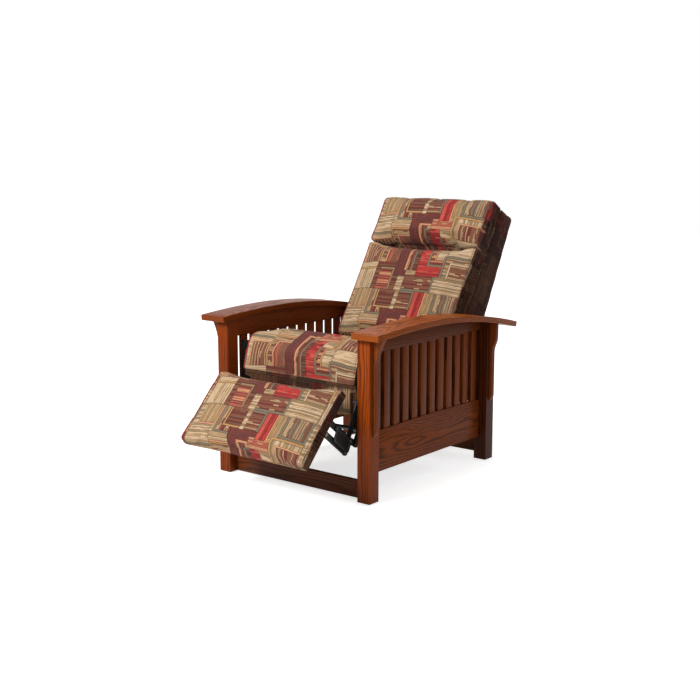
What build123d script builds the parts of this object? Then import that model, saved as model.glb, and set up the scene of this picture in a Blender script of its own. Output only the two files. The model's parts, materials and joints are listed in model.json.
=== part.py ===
from build123d import *
from math import asin, cos, pi, radians, sin
import os

# Mission reclining armchair, drawn half open: the footrest is out and the back leans.
# X points to the sitter's left, Y to the rear and Z up. The origin lies on the floor under
# the middle of the half-open chair. Side views are drawn in (y, z), with y counted rearwards
# from the front face of the front legs.

os.makedirs("parts", exist_ok=True)

# Place of the chair in its frame
front_face_y = -412.4
floor_z = 0.0

# Clearances
glue_gap = 0.2
fabric_gap = 0.4
plate_gap = 0.5
pivot_clearance = 0.06
overrun = 5.0

# Rings of a cushion's loft
side_rings = 6
crown_rings = 6
crown_flat_share = 0.16

# Oak frame
frame_width = 732.0
frame_depth = 820.0
leg_size = 55.0
leg_ease = 2.0
glide_height = 3.0
glide_radius = 12.0

arm_width = 118.0
arm_thickness = 22.0
arm_inner_overhang = 6.0
arm_front_overhang = 29.0
arm_rear_overhang = 73.0
arm_crest_y = 310.0
arm_crest_height = 628.0
arm_front_drop = 15.0
arm_rear_drop = 71.0
arm_ease = 3.0

side_rail_thickness = 20.0
side_rail_inset = 34.4
bottom_rail_base = 96.0
bottom_rail_end_height = 150.0
bottom_rail_bow = 5.0
top_rail_end_height = 32.4
tenon_length = 24.0
tenon_thickness = 9.5
tenon_shoulder = 9.0
mortise_gap = 0.15

slat_count = 12
slat_width = 34.5
slat_thickness = 14.0
slat_housing = 10.0

stretcher_thickness = 19.0
front_stretcher_base = 5.0
front_stretcher_height = 65.0
rear_stretcher_base = 27.0
rear_stretcher_height = 82.0

corbel_thickness = 21.0
corbel_reach = 12.0
corbel_tail_base = 243.0
corbel_tail_height = 26.0
front_corbel_top = 47.0
front_corbel_sweep = 112.0
front_corbel_block = 2.0
rear_corbel_top = 27.0
rear_corbel_sweep = 70.0
rear_corbel_block = 52.0

# Seat box, on a slope that falls to the rear
seat_slope = 11.6
seat_front_y = 46.0
seat_rail_top = 418.0
seat_box_side_gap = 65.0
seat_box_start = 36.0
seat_box_run_on = 27.0
seat_rail_depth = 60.0
seat_rail_thickness = 22.0
webbing_thickness = 2.0
webbing_width = 50.0
webbing_rows = 5
webbing_columns = 4
webbing_lap = 14.0
webbing_margin_share = 0.5

seat_cushion_side_gap = 36.0
seat_cushion_length = 518.0
seat_cushion_edge = 122.0
seat_cushion_crown = 30.0
seat_cushion_corner = 34.0
seat_cushion_bulge = 13.0

apron_thickness = 20.0
apron_base = 294.0
apron_side_gap = 35.0
apron_waist_inset = 1.0
apron_shoulder_height = 384.0
apron_corner = 26.0

# Back, leaning from the crease between seat and back
back_lean = 31.8
crease_gap = 3.5
crease_rise = 3.7
back_side_gap = 41.0
back_cushion_start = 8.0
back_seam = 450.0
back_top = 660.0
back_cushion_edge = 86.0
back_cushion_crown = 18.0
head_cushion_crown = 24.0
back_cushion_corner = 24.0
back_bulge = 7.0

shell_top_thickness = 90.0
shell_low_thickness = 138.0
shell_low_share = 0.28
shell_base = -58.0
shell_wall = 12.0
shell_corner = 30.0
shell_round = 16.0
post_width = 26.0
post_depth = 44.0
back_rail_height = 46.0
back_rail_depth = 22.0

hinge_behind = 17.0
hinge_below = 18.0
hinge_boss = 13.0
hinge_pin_radius = 5.0
hinge_plate_thickness = 4.0
hinge_bolt_shares = (0.25, 0.75)
back_arm_gap = 3.0
back_arm_start = 26.0
back_arm_end = 150.0
back_arm_width = 44.0
back_arm_inset = 14.0
back_bolt_shares = (0.3, 0.85)

# Footrest linkage, two parallelograms in planes beside the seat box
side_plate_thickness = 3.0
side_plate_length = 150.0
side_plate_end = 22.0
side_plate_nose_share = 0.32
side_plate_tail_shares = (0.9, 0.5)
side_plate_bolt_shares = ((0.33, 0.24), (0.72, 0.26), (0.9, 0.72))
link_thickness = 4.0
link_width = 24.0
rivet_radius = 4.0
rivet_head_radius = 8.0
rivet_head_height = 2.0
lower_pivot_y = 100.0
lower_pivot_z = 376.5
lower_link_length = 178.0
lower_link_lean = 26.0
lower_link_tail = 46.0
ground_run = 41.6
ground_drop = 23.9
link_tube_share = 0.7
link_tube_radius = 8.0
link_tube_wall = 1.5

# Footrest, tilted: its edge by the seat is the upper one
footrest_tilt = 43.0
footrest_edge_y = -55.0
footrest_edge_z = 416.0
footrest_length = 310.0
footrest_side_gap = 17.0
footrest_pad_thickness = 22.0
footrest_pad_crown = 14.0
footrest_pad_corner = 26.0
footrest_pad_bulge = 7.0
footrest_board_thickness = 12.0
footrest_board_margin = 10.0
footrest_pivot_along = 104.0
footrest_pivot_depth = 52.0
bracket_thickness = 3.0
bracket_flange_width = 26.0
bracket_up_reach = 40.0
bracket_down_reach = 74.0
bracket_boss = 10.0

# Glide under the seat, two equal swing links on each side
base_plate_thickness = 3.0
base_boss = 24.0
base_bolt_shares = (0.2, 0.5, 0.8)
swing_length = 96.0
swing_lean = 12.0
front_tube_y = 245.0
rear_tube_y = 530.0
tube_radius = 11.0
tube_wall = 2.0
tube_plug = 14.0
tube_pin_head_radius = 6.0
tube_drop = 0.3

# Bolts
bolt_head_radius = 6.0
bolt_head_height = 3.5
bolt_radius = 2.9
bolt_length = 16.0

half_width = frame_width / 2
leg_inner_x = half_width - leg_size
leg_middle_x = half_width - leg_size / 2
side_rail_outer_x = half_width - side_rail_inset
side_rail_inner_x = side_rail_outer_x - side_rail_thickness
side_rail_middle_x = side_rail_outer_x - side_rail_thickness / 2
rear_leg_y = frame_depth - leg_size
seat_box_half_width = leg_inner_x - seat_box_side_gap
seat_cushion_half_width = leg_inner_x - seat_cushion_side_gap
apron_half_width = leg_inner_x - apron_side_gap
apron_waist_half_width = seat_box_half_width - apron_waist_inset
back_half_width = leg_inner_x - back_side_gap
footrest_half_width = leg_inner_x - footrest_side_gap
base_plate_x = side_rail_inner_x - base_plate_thickness
swing_link_x = base_plate_x - plate_gap - link_thickness
back_arm_x = back_half_width + back_arm_gap
seat_box_end = seat_cushion_length + seat_box_run_on
cushion_base = 2 * webbing_thickness + fabric_gap
shell_front = back_cushion_edge + fabric_gap
hinge_plate_x = back_arm_x + hinge_plate_thickness + plate_gap
hinge_plate_outer_x = hinge_plate_x + hinge_plate_thickness
bolt_hole = bolt_radius + pivot_clearance
hands = ((-1, "right"), (1, "left"))


def finish(piece, name):
    """Label a finished piece and write it under its own name."""
    piece.part.label = name
    export_step(piece.part, f"parts/{name}.step")


def side_plane(x=0.0):
    """Side view at x, drawn in (y, z) and seen from the sitter's left."""
    return Plane(origin=(x, front_face_y, floor_z), x_dir=(0, 1, 0), z_dir=(1, 0, 0))


def plan_plane(z):
    """Plan view at height z, drawn in (x, y)."""
    return Plane(origin=(0, front_face_y, z), x_dir=(1, 0, 0), z_dir=(0, 0, 1))


def front_plane(y):
    """Front view at depth y, drawn in (x, z), facing forward."""
    return Plane(origin=(0, front_face_y + y, floor_z), x_dir=(1, 0, 0), z_dir=(0, -1, 0))


# Views and points of the seat, the back and the footrest

slope = radians(seat_slope)
lean = radians(back_lean)
tilt = radians(footrest_tilt)
link_lean = radians(lower_link_lean)
glide_lean = radians(swing_lean)


def seat_point(v, w):
    """Side-view point (y, z) at v along the seat's slope and w above the rails."""
    return (seat_front_y + v * cos(slope) + w * sin(slope),
            seat_rail_top - v * sin(slope) + w * cos(slope))


def seat_side_plane(x):
    """Side view at x in the seat's own (v, w)."""
    return Plane(origin=(x, front_face_y + seat_front_y, seat_rail_top),
                 x_dir=(0, cos(slope), -sin(slope)), z_dir=(1, 0, 0))


def seat_deck_plane(w):
    """Plane parallel to the seat's slope, w above the rails, drawn in (x, v)."""
    y, z = seat_point(0, w)
    return Plane(origin=(0, front_face_y + y, z), x_dir=(1, 0, 0), z_dir=(0, sin(slope), cos(slope)))


crease = seat_point(seat_cushion_length + crease_gap,
                    cushion_base + seat_cushion_edge + seat_cushion_crown + crease_rise)


def back_point(u, n):
    """Side-view point (y, z) at u up the back from the crease and n forward of its face."""
    return (crease[0] + u * sin(lean) - n * cos(lean), crease[1] + u * cos(lean) + n * sin(lean))


def back_plane(n):
    """Plane parallel to the face of the back, drawn in (x, u)."""
    y, z = back_point(0, n)
    return Plane(origin=(0, front_face_y + y, z), x_dir=(1, 0, 0),
                 z_dir=(0, -cos(lean), sin(lean)))


def pad_point(along, depth):
    """Side-view point `along` the footrest from its upper edge and `depth` behind its face."""
    return (footrest_edge_y - along * sin(tilt) + depth * cos(tilt),
            footrest_edge_z - along * cos(tilt) - depth * sin(tilt))


def pad_plane(depth):
    """Plane parallel to the footrest's face, drawn in (x, up the face)."""
    y, z = pad_point(0, depth)
    return Plane(origin=(0, front_face_y + y, z), x_dir=(1, 0, 0),
                 z_dir=(0, -cos(tilt), sin(tilt)))


def shifted(plane, up):
    """The same plane with its origin moved along its own y."""
    return Plane(origin=plane.from_local_coords((0, up, 0)), x_dir=plane.x_dir, z_dir=plane.z_dir)


def moved(point, step):
    """A (y, z) point moved by a (y, z) step."""
    return (point[0] + step[0], point[1] + step[1])


# Pivots of the footrest linkage at rest. The lower links hang from the side plate and lean
# forward. Both pairs of links stay parallel, so the footrest turns as the lower links do.

lower_link_step = (-lower_link_length * sin(link_lean), -lower_link_length * cos(link_lean))
tail_step = (-lower_link_tail * sin(link_lean), -lower_link_tail * cos(link_lean))
ground_step = (ground_run, -ground_drop)
lower_pivot = (lower_pivot_y, lower_pivot_z)
rear_pivot = moved(lower_pivot, ground_step)
knee = moved(lower_pivot, lower_link_step)
rear_knee = moved(knee, ground_step)
link_tail = moved(knee, tail_step)
pad_pivot = pad_point(footrest_pivot_along, footrest_pivot_depth)
pad_tail = moved(pad_pivot, tail_step)
link_tube_centre = tuple(
    rear_pivot[i] + lower_link_step[i] * link_tube_share for i in (0, 1)
)

# Pivots of the glide. The swing links lean forward from the base plates.

swing_step = (swing_length * sin(glide_lean), -swing_length * cos(glide_lean))


def tube_under_box(y):
    """Centre of a cross tube that carries the seat box at depth y."""
    rail_foot = seat_point(0, -seat_rail_depth)
    fall = (y - rail_foot[0]) * sin(slope) / cos(slope)
    return (y, rail_foot[1] - fall - (tube_radius + tube_drop) / cos(slope))


swing_tops = [tube_under_box(front_tube_y), tube_under_box(rear_tube_y)]
swing_feet = [moved(top, swing_step) for top in swing_tops]

hinge = moved(crease, (hinge_behind, -hinge_below))
hinge_bolt_places = [
    seat_point(seat_box_end - seat_rail_thickness / 2, -seat_rail_depth * share)
    for share in hinge_bolt_shares
]
back_bolt_places = [
    back_point(back_arm_start + (back_arm_end - back_arm_start) * share,
               -shell_front - back_arm_inset)
    for share in back_bolt_shares
]
plate_bolt_places = [
    seat_point(seat_box_start + side_plate_length * along_share, -seat_rail_depth * down_share)
    for along_share, down_share in side_plate_bolt_shares
]
base_bolt_places = [
    tuple(swing_feet[0][i] + (swing_feet[1][i] - swing_feet[0][i]) * share for i in (0, 1))
    for share in base_bolt_shares
]


# Shared shapes

def hull_of_discs(*discs):
    """Add the tight outline round discs given as (centre, radius)."""
    with BuildSketch() as outline:
        for centre, radius in discs:
            with Locations(centre):
                Circle(radius)
        make_hull()
    add(outline.sketch)


def discs(places, radius, mode=Mode.ADD):
    """Equal discs."""
    with Locations(places):
        Circle(radius, mode=mode)


def strip(side, x, thickness, hulls, *holes):
    """Flat link or plate of rounded outline; each of `holes` is (places, radius)."""
    with BuildSketch(side_plane(side * x)) as outline:
        for hull in hulls:
            hull_of_discs(*hull)
        for places, radius in holes:
            discs(places, radius, Mode.SUBTRACT)
    extrude(outline.sketch, amount=side * thickness)


def headed_pin(side, places, head_at, tip_at, radius, head_radius, head_height):
    """Pins along X on one side: the head's outer face at head_at, the shank's end at tip_at."""
    inward = 1 if tip_at > head_at else -1
    with BuildSketch(side_plane(side * head_at)) as shank:
        discs(places, radius)
    extrude(shank.sketch, amount=side * (tip_at - head_at))
    with BuildSketch(side_plane(side * head_at)) as head:
        discs(places, head_radius)
    extrude(head.sketch, amount=side * inward * head_height)


def bolt_holes(side, places, start, end):
    """Drill through the current part along X between start and end."""
    with BuildSketch(side_plane(side * start)) as hole:
        discs(places, bolt_hole)
    extrude(hole.sketch, amount=side * (end - start), mode=Mode.SUBTRACT)


def round_tube(y_z, half_length, radius, wall):
    """Tube across the chair, centred at (y, z)."""
    with BuildSketch(side_plane(-half_length)) as ring:
        with Locations(y_z):
            Circle(radius)
            Circle(radius - wall, mode=Mode.SUBTRACT)
    extrude(ring.sketch, amount=2 * half_length)


def cushion(base, width, length, edge, crown, corner, bulge):
    """Ruled loft of a stuffed cushion on `base`: drawn in at its seams, crowned on top."""
    rings = []
    for step in range(side_rings + 1):
        share = step / side_rings
        rings.append((edge * share, 1, bulge * (1 - sin(pi * share))))
    for step in range(1, crown_rings + 1):
        size = 1 - (1 - crown_flat_share) * step / crown_rings
        rings.append((edge + crown * (1 - size**2), size, bulge))
    outlines = []
    for height, size, drawn in rings:
        with BuildSketch(base.offset(height)) as section:
            RectangleRounded((width - 2 * drawn) * size, (length - 2 * drawn) * size, corner * size)
        outlines.append(section.sketch)
    loft(outlines, ruled=True)


# Arms and what they rest on
# The top of each bow arm is two arcs that meet level at the crest.

arm_front_run = arm_crest_y + arm_front_overhang
arm_rear_run = frame_depth + arm_rear_overhang - arm_crest_y
arm_front_radius = (arm_front_run**2 + arm_front_drop**2) / (2 * arm_front_drop)
arm_rear_radius = (arm_rear_run**2 + arm_rear_drop**2) / (2 * arm_rear_drop)


def arm_point(run, depth):
    """Point of the arm's profile: `run` from the crest along the top, `depth` below it."""
    radius = arm_front_radius if run < 0 else arm_rear_radius
    turn = asin(run / radius)
    reach = radius - depth
    return (arm_crest_y + reach * sin(turn), arm_crest_height - radius + reach * cos(turn))


def arm_arcs(depth):
    """The two arcs of the arm's profile at `depth` below its top face."""
    ThreePointArc(*[arm_point(-arm_front_run * share, depth) for share in (1, 0.5, 0)])
    ThreePointArc(*[arm_point(arm_rear_run * share, depth) for share in (0, 0.5, 1)])


def arm_profile():
    """Outline of the arm from the side."""
    with BuildLine() as outline:
        arm_arcs(0)
        arm_arcs(arm_thickness)
        Line(arm_point(-arm_front_run, 0), arm_point(-arm_front_run, arm_thickness))
        Line(arm_point(arm_rear_run, 0), arm_point(arm_rear_run, arm_thickness))
    make_face(outline.edges())


def under_arm_profile():
    """Everything below the arm, from the side."""
    depth = arm_thickness + glue_gap
    start = arm_point(-arm_front_run, depth)
    end = arm_point(arm_rear_run, depth)
    with BuildLine() as outline:
        arm_arcs(depth)
        Polyline(start, (start[0], floor_z), (end[0], floor_z), end)
    make_face(outline.edges())


def trim_under_arm():
    """Keep only what lies below the arm."""
    with BuildSketch(side_plane(-frame_width)) as below:
        under_arm_profile()
    extrude(below.sketch, amount=2 * frame_width, mode=Mode.INTERSECT)


def bottom_rail_profile():
    """Side view of the wide bottom rail, with its slightly bowed top edge."""
    start = leg_size
    end = rear_leg_y
    top = bottom_rail_base + bottom_rail_end_height
    with BuildLine() as outline:
        Polyline((start, top), (start, bottom_rail_base), (end, bottom_rail_base), (end, top))
        ThreePointArc((start, top), ((start + end) / 2, top + bottom_rail_bow), (end, top))
    make_face(outline.edges())


top_rail_base = arm_point(rear_leg_y - arm_crest_y, arm_thickness)[1] - top_rail_end_height
slat_gap = (rear_leg_y - leg_size - slat_count * slat_width) / (slat_count + 1)
slat_pitch = slat_width + slat_gap
slat_top = top_rail_base + slat_housing
slat_base = bottom_rail_base + bottom_rail_end_height - slat_housing
slat_places = [leg_size + slat_gap + slat_width / 2 + slat_pitch * i for i in range(slat_count)]

bottom_tenon_top = bottom_rail_base + bottom_rail_end_height - tenon_shoulder
top_tenon_base = top_rail_base + tenon_shoulder
rear_rail_space = arm_point(rear_leg_y + tenon_length - arm_crest_y, arm_thickness)[1]
top_tenon_top = rear_rail_space - tenon_shoulder / 2
side_tenons = (
    (bottom_rail_base + tenon_shoulder, bottom_tenon_top),
    (top_tenon_base, top_tenon_top),
)
stretchers = {
    "front_stretcher": (leg_size - stretcher_thickness, front_stretcher_base, front_stretcher_height),
    "rear_stretcher": (rear_leg_y + (leg_size - stretcher_thickness) / 2, rear_stretcher_base,
                       rear_stretcher_height),
}
stretcher_tenon_top = bottom_rail_base + tenon_shoulder / 2


def side_tenon(base, top, gap=0.0):
    """Tenons of a side rail at both of its ends, or with a gap their mortises."""
    for face_y, inward in ((leg_size, -1), (rear_leg_y, 1)):
        with Locations((face_y + inward * tenon_length / 2, (base + top) / 2)):
            Rectangle(tenon_length + 2 * gap, top - base + 2 * gap)


def stretcher_tenon(name):
    """Middle depth, base and top of a stretcher's tenon."""
    y, base, height = stretchers[name]
    top = min(base + height - tenon_shoulder, stretcher_tenon_top)
    return y + stretcher_thickness / 2, base + tenon_shoulder, top


for hand, hand_name in hands:
    for place, leg_y, stretcher in (
        ("front", leg_size / 2, "front_stretcher"),
        ("rear", frame_depth - leg_size / 2, "rear_stretcher"),
    ):
        with BuildPart() as leg:
            with BuildSketch(plan_plane(glide_height)):
                with Locations((hand * leg_middle_x, leg_y)):
                    Rectangle(leg_size, leg_size)
            extrude(amount=arm_crest_height)
            fillet(leg.edges().filter_by(Axis.Z), leg_ease)
            trim_under_arm()
            for base, top in side_tenons:
                with BuildSketch(side_plane(hand * (side_rail_middle_x))):
                    side_tenon(base, top, mortise_gap)
                extrude(amount=tenon_thickness / 2 + mortise_gap, both=True, mode=Mode.SUBTRACT)
            middle_y, base, top = stretcher_tenon(stretcher)
            with BuildSketch(plan_plane(base - mortise_gap)):
                with Locations((hand * (leg_inner_x + tenon_length / 2), middle_y)):
                    Rectangle(tenon_length + 2 * mortise_gap, tenon_thickness + 2 * mortise_gap)
            extrude(amount=top - base + 2 * mortise_gap, mode=Mode.SUBTRACT)
        finish(leg, f"{place}_leg_{hand_name}")

    with BuildPart() as arm:
        with BuildSketch(side_plane(hand * (leg_inner_x - arm_inner_overhang))):
            arm_profile()
        extrude(amount=hand * arm_width)
        fillet(arm.edges().filter_by(GeomType.CIRCLE), arm_ease)
    finish(arm, f"arm_{hand_name}")

    with BuildPart() as bottom_rail:
        with BuildSketch(side_plane(hand * side_rail_inner_x)):
            bottom_rail_profile()
        extrude(amount=hand * side_rail_thickness)
        with BuildSketch(side_plane(hand * side_rail_middle_x)):
            side_tenon(*side_tenons[0])
        extrude(amount=tenon_thickness / 2, both=True)
        with BuildSketch(side_plane(hand * side_rail_middle_x)):
            with Locations([(y, slat_base) for y in slat_places]):
                Rectangle(slat_width + 2 * mortise_gap, slat_housing * 2,
                          align=(Align.CENTER, Align.MIN))
        extrude(amount=slat_thickness / 2 + mortise_gap, both=True, mode=Mode.SUBTRACT)
        bolt_holes(hand, base_bolt_places, side_rail_inner_x, side_rail_middle_x)
    finish(bottom_rail, f"side_bottom_rail_{hand_name}")

    with BuildPart() as top_rail:
        with BuildSketch(side_plane(hand * side_rail_inner_x)):
            with Locations((leg_size, top_rail_base)):
                Rectangle(rear_leg_y - leg_size, arm_crest_height - top_rail_base,
                          align=(Align.MIN, Align.MIN))
        extrude(amount=hand * side_rail_thickness)
        with BuildSketch(side_plane(hand * side_rail_middle_x)):
            side_tenon(*side_tenons[1])
        extrude(amount=tenon_thickness / 2, both=True)
        trim_under_arm()
        with BuildSketch(side_plane(hand * side_rail_middle_x)):
            with Locations([(y, slat_top) for y in slat_places]):
                Rectangle(slat_width + 2 * mortise_gap, slat_housing * 2,
                          align=(Align.CENTER, Align.MAX))
        extrude(amount=slat_thickness / 2 + mortise_gap, both=True, mode=Mode.SUBTRACT)
    finish(top_rail, f"side_top_rail_{hand_name}")

    with BuildPart() as slats:
        with BuildSketch(side_plane(hand * side_rail_middle_x)):
            with Locations([(y, (slat_base + slat_top) / 2) for y in slat_places]):
                Rectangle(slat_width, slat_top - slat_base)
        extrude(amount=slat_thickness / 2, both=True)
    finish(slats, f"side_slats_{hand_name}")


# Corbels: long thin boards on edge against the outer face of each leg

def corbel_profile(hand, top_reach, sweep, block, top_height):
    """Front view: a tail that curves in, a long thin run, and a sweep out to the arm."""
    def at(reach, height):
        return (hand * (half_width + reach), height)

    sweep_top = top_height - block
    sweep_base = sweep_top - sweep
    tail_top = corbel_tail_base + corbel_tail_height
    middle = at((corbel_reach + top_reach) / 2, (sweep_base + sweep_top) / 2)
    with BuildLine() as outline:
        Line(at(0, top_height + overrun), at(0, corbel_tail_base))
        TangentArc(at(corbel_reach, tail_top), at(0, corbel_tail_base), tangent=(0, -1))
        Line(at(corbel_reach, tail_top), at(corbel_reach, sweep_base))
        if block > front_corbel_block:
            rise = TangentArc(at(corbel_reach, sweep_base), middle, tangent=(0, 1))
            TangentArc(middle, at(top_reach, sweep_top), tangent=rise % 1)
        else:
            TangentArc(at(corbel_reach, sweep_base), at(top_reach, sweep_top), tangent=(0, 1))
        Polyline(at(top_reach, sweep_top), at(top_reach, top_height + overrun),
                 at(0, top_height + overrun))
    make_face(outline.edges())


for place, middle_y, top_reach, sweep, block in (
    ("front", leg_size / 2, front_corbel_top, front_corbel_sweep, front_corbel_block),
    ("rear", frame_depth - leg_size / 2, rear_corbel_top, rear_corbel_sweep, rear_corbel_block),
):
    arm_underside = arm_point(middle_y - arm_crest_y, arm_thickness)[1]
    with BuildPart() as corbels:
        for side in (-1, 1):
            with BuildSketch(front_plane(middle_y + corbel_thickness / 2)):
                corbel_profile(side, top_reach, sweep, block, arm_underside)
            extrude(amount=corbel_thickness)
        trim_under_arm()
    finish(corbels, f"{place}_corbels")

for name, (stretcher_y, base, height) in stretchers.items():
    with BuildPart() as stretcher:
        with BuildSketch(front_plane(stretcher_y + stretcher_thickness)):
            with Locations((0, base)):
                Rectangle(2 * leg_inner_x, height, align=(Align.CENTER, Align.MIN))
        extrude(amount=stretcher_thickness)
        middle_y, tenon_base, tenon_top = stretcher_tenon(name)
        with BuildSketch(front_plane(middle_y + tenon_thickness / 2)):
            with Locations((0, tenon_base)):
                Rectangle(2 * (leg_inner_x + tenon_length), tenon_top - tenon_base,
                          align=(Align.CENTER, Align.MIN))
        extrude(amount=tenon_thickness)
    finish(stretcher, name)

with BuildPart() as floor_glides:
    with BuildSketch(plan_plane(floor_z)):
        for leg_y in (leg_size / 2, frame_depth - leg_size / 2):
            with Locations((-leg_middle_x, leg_y), (leg_middle_x, leg_y)):
                Circle(glide_radius)
    extrude(amount=glide_height)
finish(floor_glides, "floor_glides")


# Seat box

for hand, hand_name in hands:
    with BuildPart() as seat_side_rail:
        with BuildSketch(seat_side_plane(hand * (seat_box_half_width - seat_rail_thickness))):
            with Locations((seat_box_start + seat_rail_thickness, 0)):
                Rectangle(seat_box_end - seat_box_start - 2 * seat_rail_thickness, seat_rail_depth,
                          align=(Align.MIN, Align.MAX))
        extrude(amount=hand * seat_rail_thickness)
        bolt_holes(hand, plate_bolt_places, seat_box_half_width - seat_rail_thickness,
                   seat_box_half_width)
    finish(seat_side_rail, f"seat_side_rail_{hand_name}")

for name, start, half_span in (
    ("seat_front_rail", seat_box_start, seat_box_half_width),
    ("seat_rear_rail", seat_box_end - seat_rail_thickness, hinge_plate_x),
):
    with BuildPart() as seat_cross_rail:
        with BuildSketch(seat_side_plane(-half_span)):
            with Locations((start, 0)):
                Rectangle(seat_rail_thickness, seat_rail_depth, align=(Align.MIN, Align.MAX))
        extrude(amount=2 * half_span)
        if half_span > seat_box_half_width:
            for side in (-1, 1):
                bolt_holes(side, hinge_bolt_places, half_span - bolt_length, half_span)
    finish(seat_cross_rail, name)

web_row_pitch = (seat_box_end - seat_box_start) / (webbing_rows + webbing_margin_share)
web_column_pitch = 2 * seat_box_half_width / (webbing_columns + webbing_margin_share)
web_length = seat_box_end - seat_box_start - 2 * (seat_rail_thickness - webbing_lap)
web_span = 2 * (seat_box_half_width - seat_rail_thickness + webbing_lap)
seat_middle_v = (seat_box_start + seat_box_end) / 2
with BuildPart() as seat_webbing:
    with BuildSketch(seat_deck_plane(0)):
        with Locations((0, seat_middle_v)):
            with GridLocations(web_column_pitch, web_row_pitch, webbing_columns, 1):
                Rectangle(webbing_width, web_length)
    extrude(amount=webbing_thickness)
    with BuildSketch(seat_deck_plane(webbing_thickness)):
        with Locations((0, seat_middle_v)):
            with GridLocations(web_column_pitch, web_row_pitch, 1, webbing_rows):
                Rectangle(web_span, webbing_width)
    extrude(amount=webbing_thickness)
finish(seat_webbing, "seat_webbing")

with BuildPart() as seat_cushion:
    cushion(shifted(seat_deck_plane(cushion_base), seat_cushion_length / 2),
            2 * seat_cushion_half_width, seat_cushion_length, seat_cushion_edge,
            seat_cushion_crown, seat_cushion_corner, seat_cushion_bulge)
finish(seat_cushion, "seat_cushion")

apron_top = seat_rail_top - fabric_gap
waist = apron_waist_half_width
with BuildPart() as seat_apron:
    with BuildSketch(front_plane(seat_front_y + apron_thickness)):
        with Locations((0, apron_base)):
            Rectangle(2 * waist, apron_top - apron_base, align=(Align.CENTER, Align.MIN))
        with Locations((0, apron_shoulder_height)):
            Rectangle(2 * apron_half_width, apron_top - apron_shoulder_height,
                      align=(Align.CENTER, Align.MIN))
    extrude(amount=apron_thickness)
    apron_feet = seat_apron.edges().filter_by(Axis.Y).group_by(Axis.Z)[0]
    fillet(apron_feet, apron_corner)
finish(seat_apron, "seat_apron")


# Back

for name, start, end, crown in (
    ("back_cushion", back_cushion_start, back_seam, back_cushion_crown),
    ("head_cushion", back_seam + fabric_gap, back_top, head_cushion_crown),
):
    with BuildPart() as back_pad:
        cushion(shifted(back_plane(-back_cushion_edge), (start + end) / 2), 2 * back_half_width,
                end - start, back_cushion_edge, crown, back_cushion_corner, back_bulge)
    finish(back_pad, name)

shell_low_u = back_top * shell_low_share


def shell_outline(inset):
    """Side view of the upholstered shell, or of its hollow with an inset."""
    front = -shell_front
    top = back_top - inset
    low = shell_base + inset
    rear_top = front - shell_top_thickness + inset
    rear_low = front - shell_low_thickness + inset
    with BuildLine() as outline:
        Polyline(back_point(low, front), back_point(top, front), back_point(top, rear_top),
                 back_point(shell_low_u, rear_low), back_point(low + shell_corner, rear_low),
                 back_point(low, rear_low + shell_corner), back_point(low, front))
    make_face(outline.edges())


with BuildPart() as back_shell:
    with BuildSketch(side_plane(-back_half_width)):
        shell_outline(0)
    extrude(amount=2 * back_half_width)
    top_edge = back_shell.edges().filter_by(Axis.X).group_by(Axis.Z)[-1]
    fillet(top_edge, shell_round)
    with BuildSketch(side_plane(-back_half_width + shell_wall)):
        shell_outline(shell_wall)
    extrude(amount=2 * (back_half_width - shell_wall), mode=Mode.SUBTRACT)
    for side in (-1, 1):
        bolt_holes(side, back_bolt_places, back_half_width - shell_wall - overrun,
                   back_half_width)
finish(back_shell, "back_shell")

post_outer_x = back_half_width - shell_wall - glue_gap
post_base_u = shell_base + shell_wall + shell_corner
post_top_u = back_top - shell_wall - glue_gap
post_front_n = -shell_front - fabric_gap
post_middle_x = post_outer_x - post_width / 2
with BuildPart() as back_posts:
    with BuildSketch(back_plane(post_front_n)):
        with Locations((-post_middle_x, (post_base_u + post_top_u) / 2),
                       (post_middle_x, (post_base_u + post_top_u) / 2)):
            Rectangle(post_width, post_top_u - post_base_u)
    extrude(amount=-post_depth)
    for side in (-1, 1):
        bolt_holes(side, back_bolt_places, post_outer_x - post_width, post_outer_x)
finish(back_posts, "back_posts")

with BuildPart() as back_rails:
    rail_places = (post_base_u + back_rail_height / 2, (post_base_u + post_top_u) / 2,
                   post_top_u - back_rail_height / 2)
    with BuildSketch(back_plane(post_front_n)):
        with Locations([(0, u) for u in rail_places]):
            Rectangle(2 * (post_outer_x - post_width), back_rail_height)
    extrude(amount=-back_rail_depth)
finish(back_rails, "back_rails")


# Back hinge: plates on the ends of the seat's rear rail, arms on the sides of the back

arm_low = back_point(back_arm_start, -shell_front - back_arm_inset)
arm_high = back_point(back_arm_end, -shell_front - back_arm_inset)
arm_deep = back_point((back_arm_start + back_arm_end) / 2,
                      -shell_front - back_arm_inset - back_arm_width)
pin_hole = hinge_pin_radius + pivot_clearance
hinge_tab = seat_rail_thickness / 2 + bolt_head_radius / 2

for hand, hand_name in hands:
    with BuildPart() as hinge_plate:
        strip(hand, hinge_plate_x, hinge_plate_thickness,
              [[(hinge, hinge_boss), (hinge_bolt_places[0], hinge_tab)],
               [(place, hinge_tab) for place in hinge_bolt_places]],
              ([hinge], pin_hole), (hinge_bolt_places, bolt_hole))
    finish(hinge_plate, f"back_hinge_plate_{hand_name}")

    with BuildPart() as back_arm:
        strip(hand, back_arm_x, hinge_plate_thickness,
              [[(hinge, hinge_boss), (arm_low, back_arm_inset), (arm_deep, back_arm_inset)],
               [(arm_low, back_arm_inset), (arm_high, back_arm_inset), (arm_deep, back_arm_inset)]],
              ([hinge], pin_hole), (back_bolt_places, bolt_hole))
    finish(back_arm, f"back_arm_plate_{hand_name}")

back_arm_seat = back_arm_x + hinge_plate_thickness
with BuildPart() as back_hinge_pins:
    for side in (-1, 1):
        headed_pin(side, [hinge], hinge_plate_outer_x + glue_gap + rivet_head_height, back_arm_x,
                   hinge_pin_radius, rivet_head_radius, rivet_head_height)
finish(back_hinge_pins, "back_hinge_pins")

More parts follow.
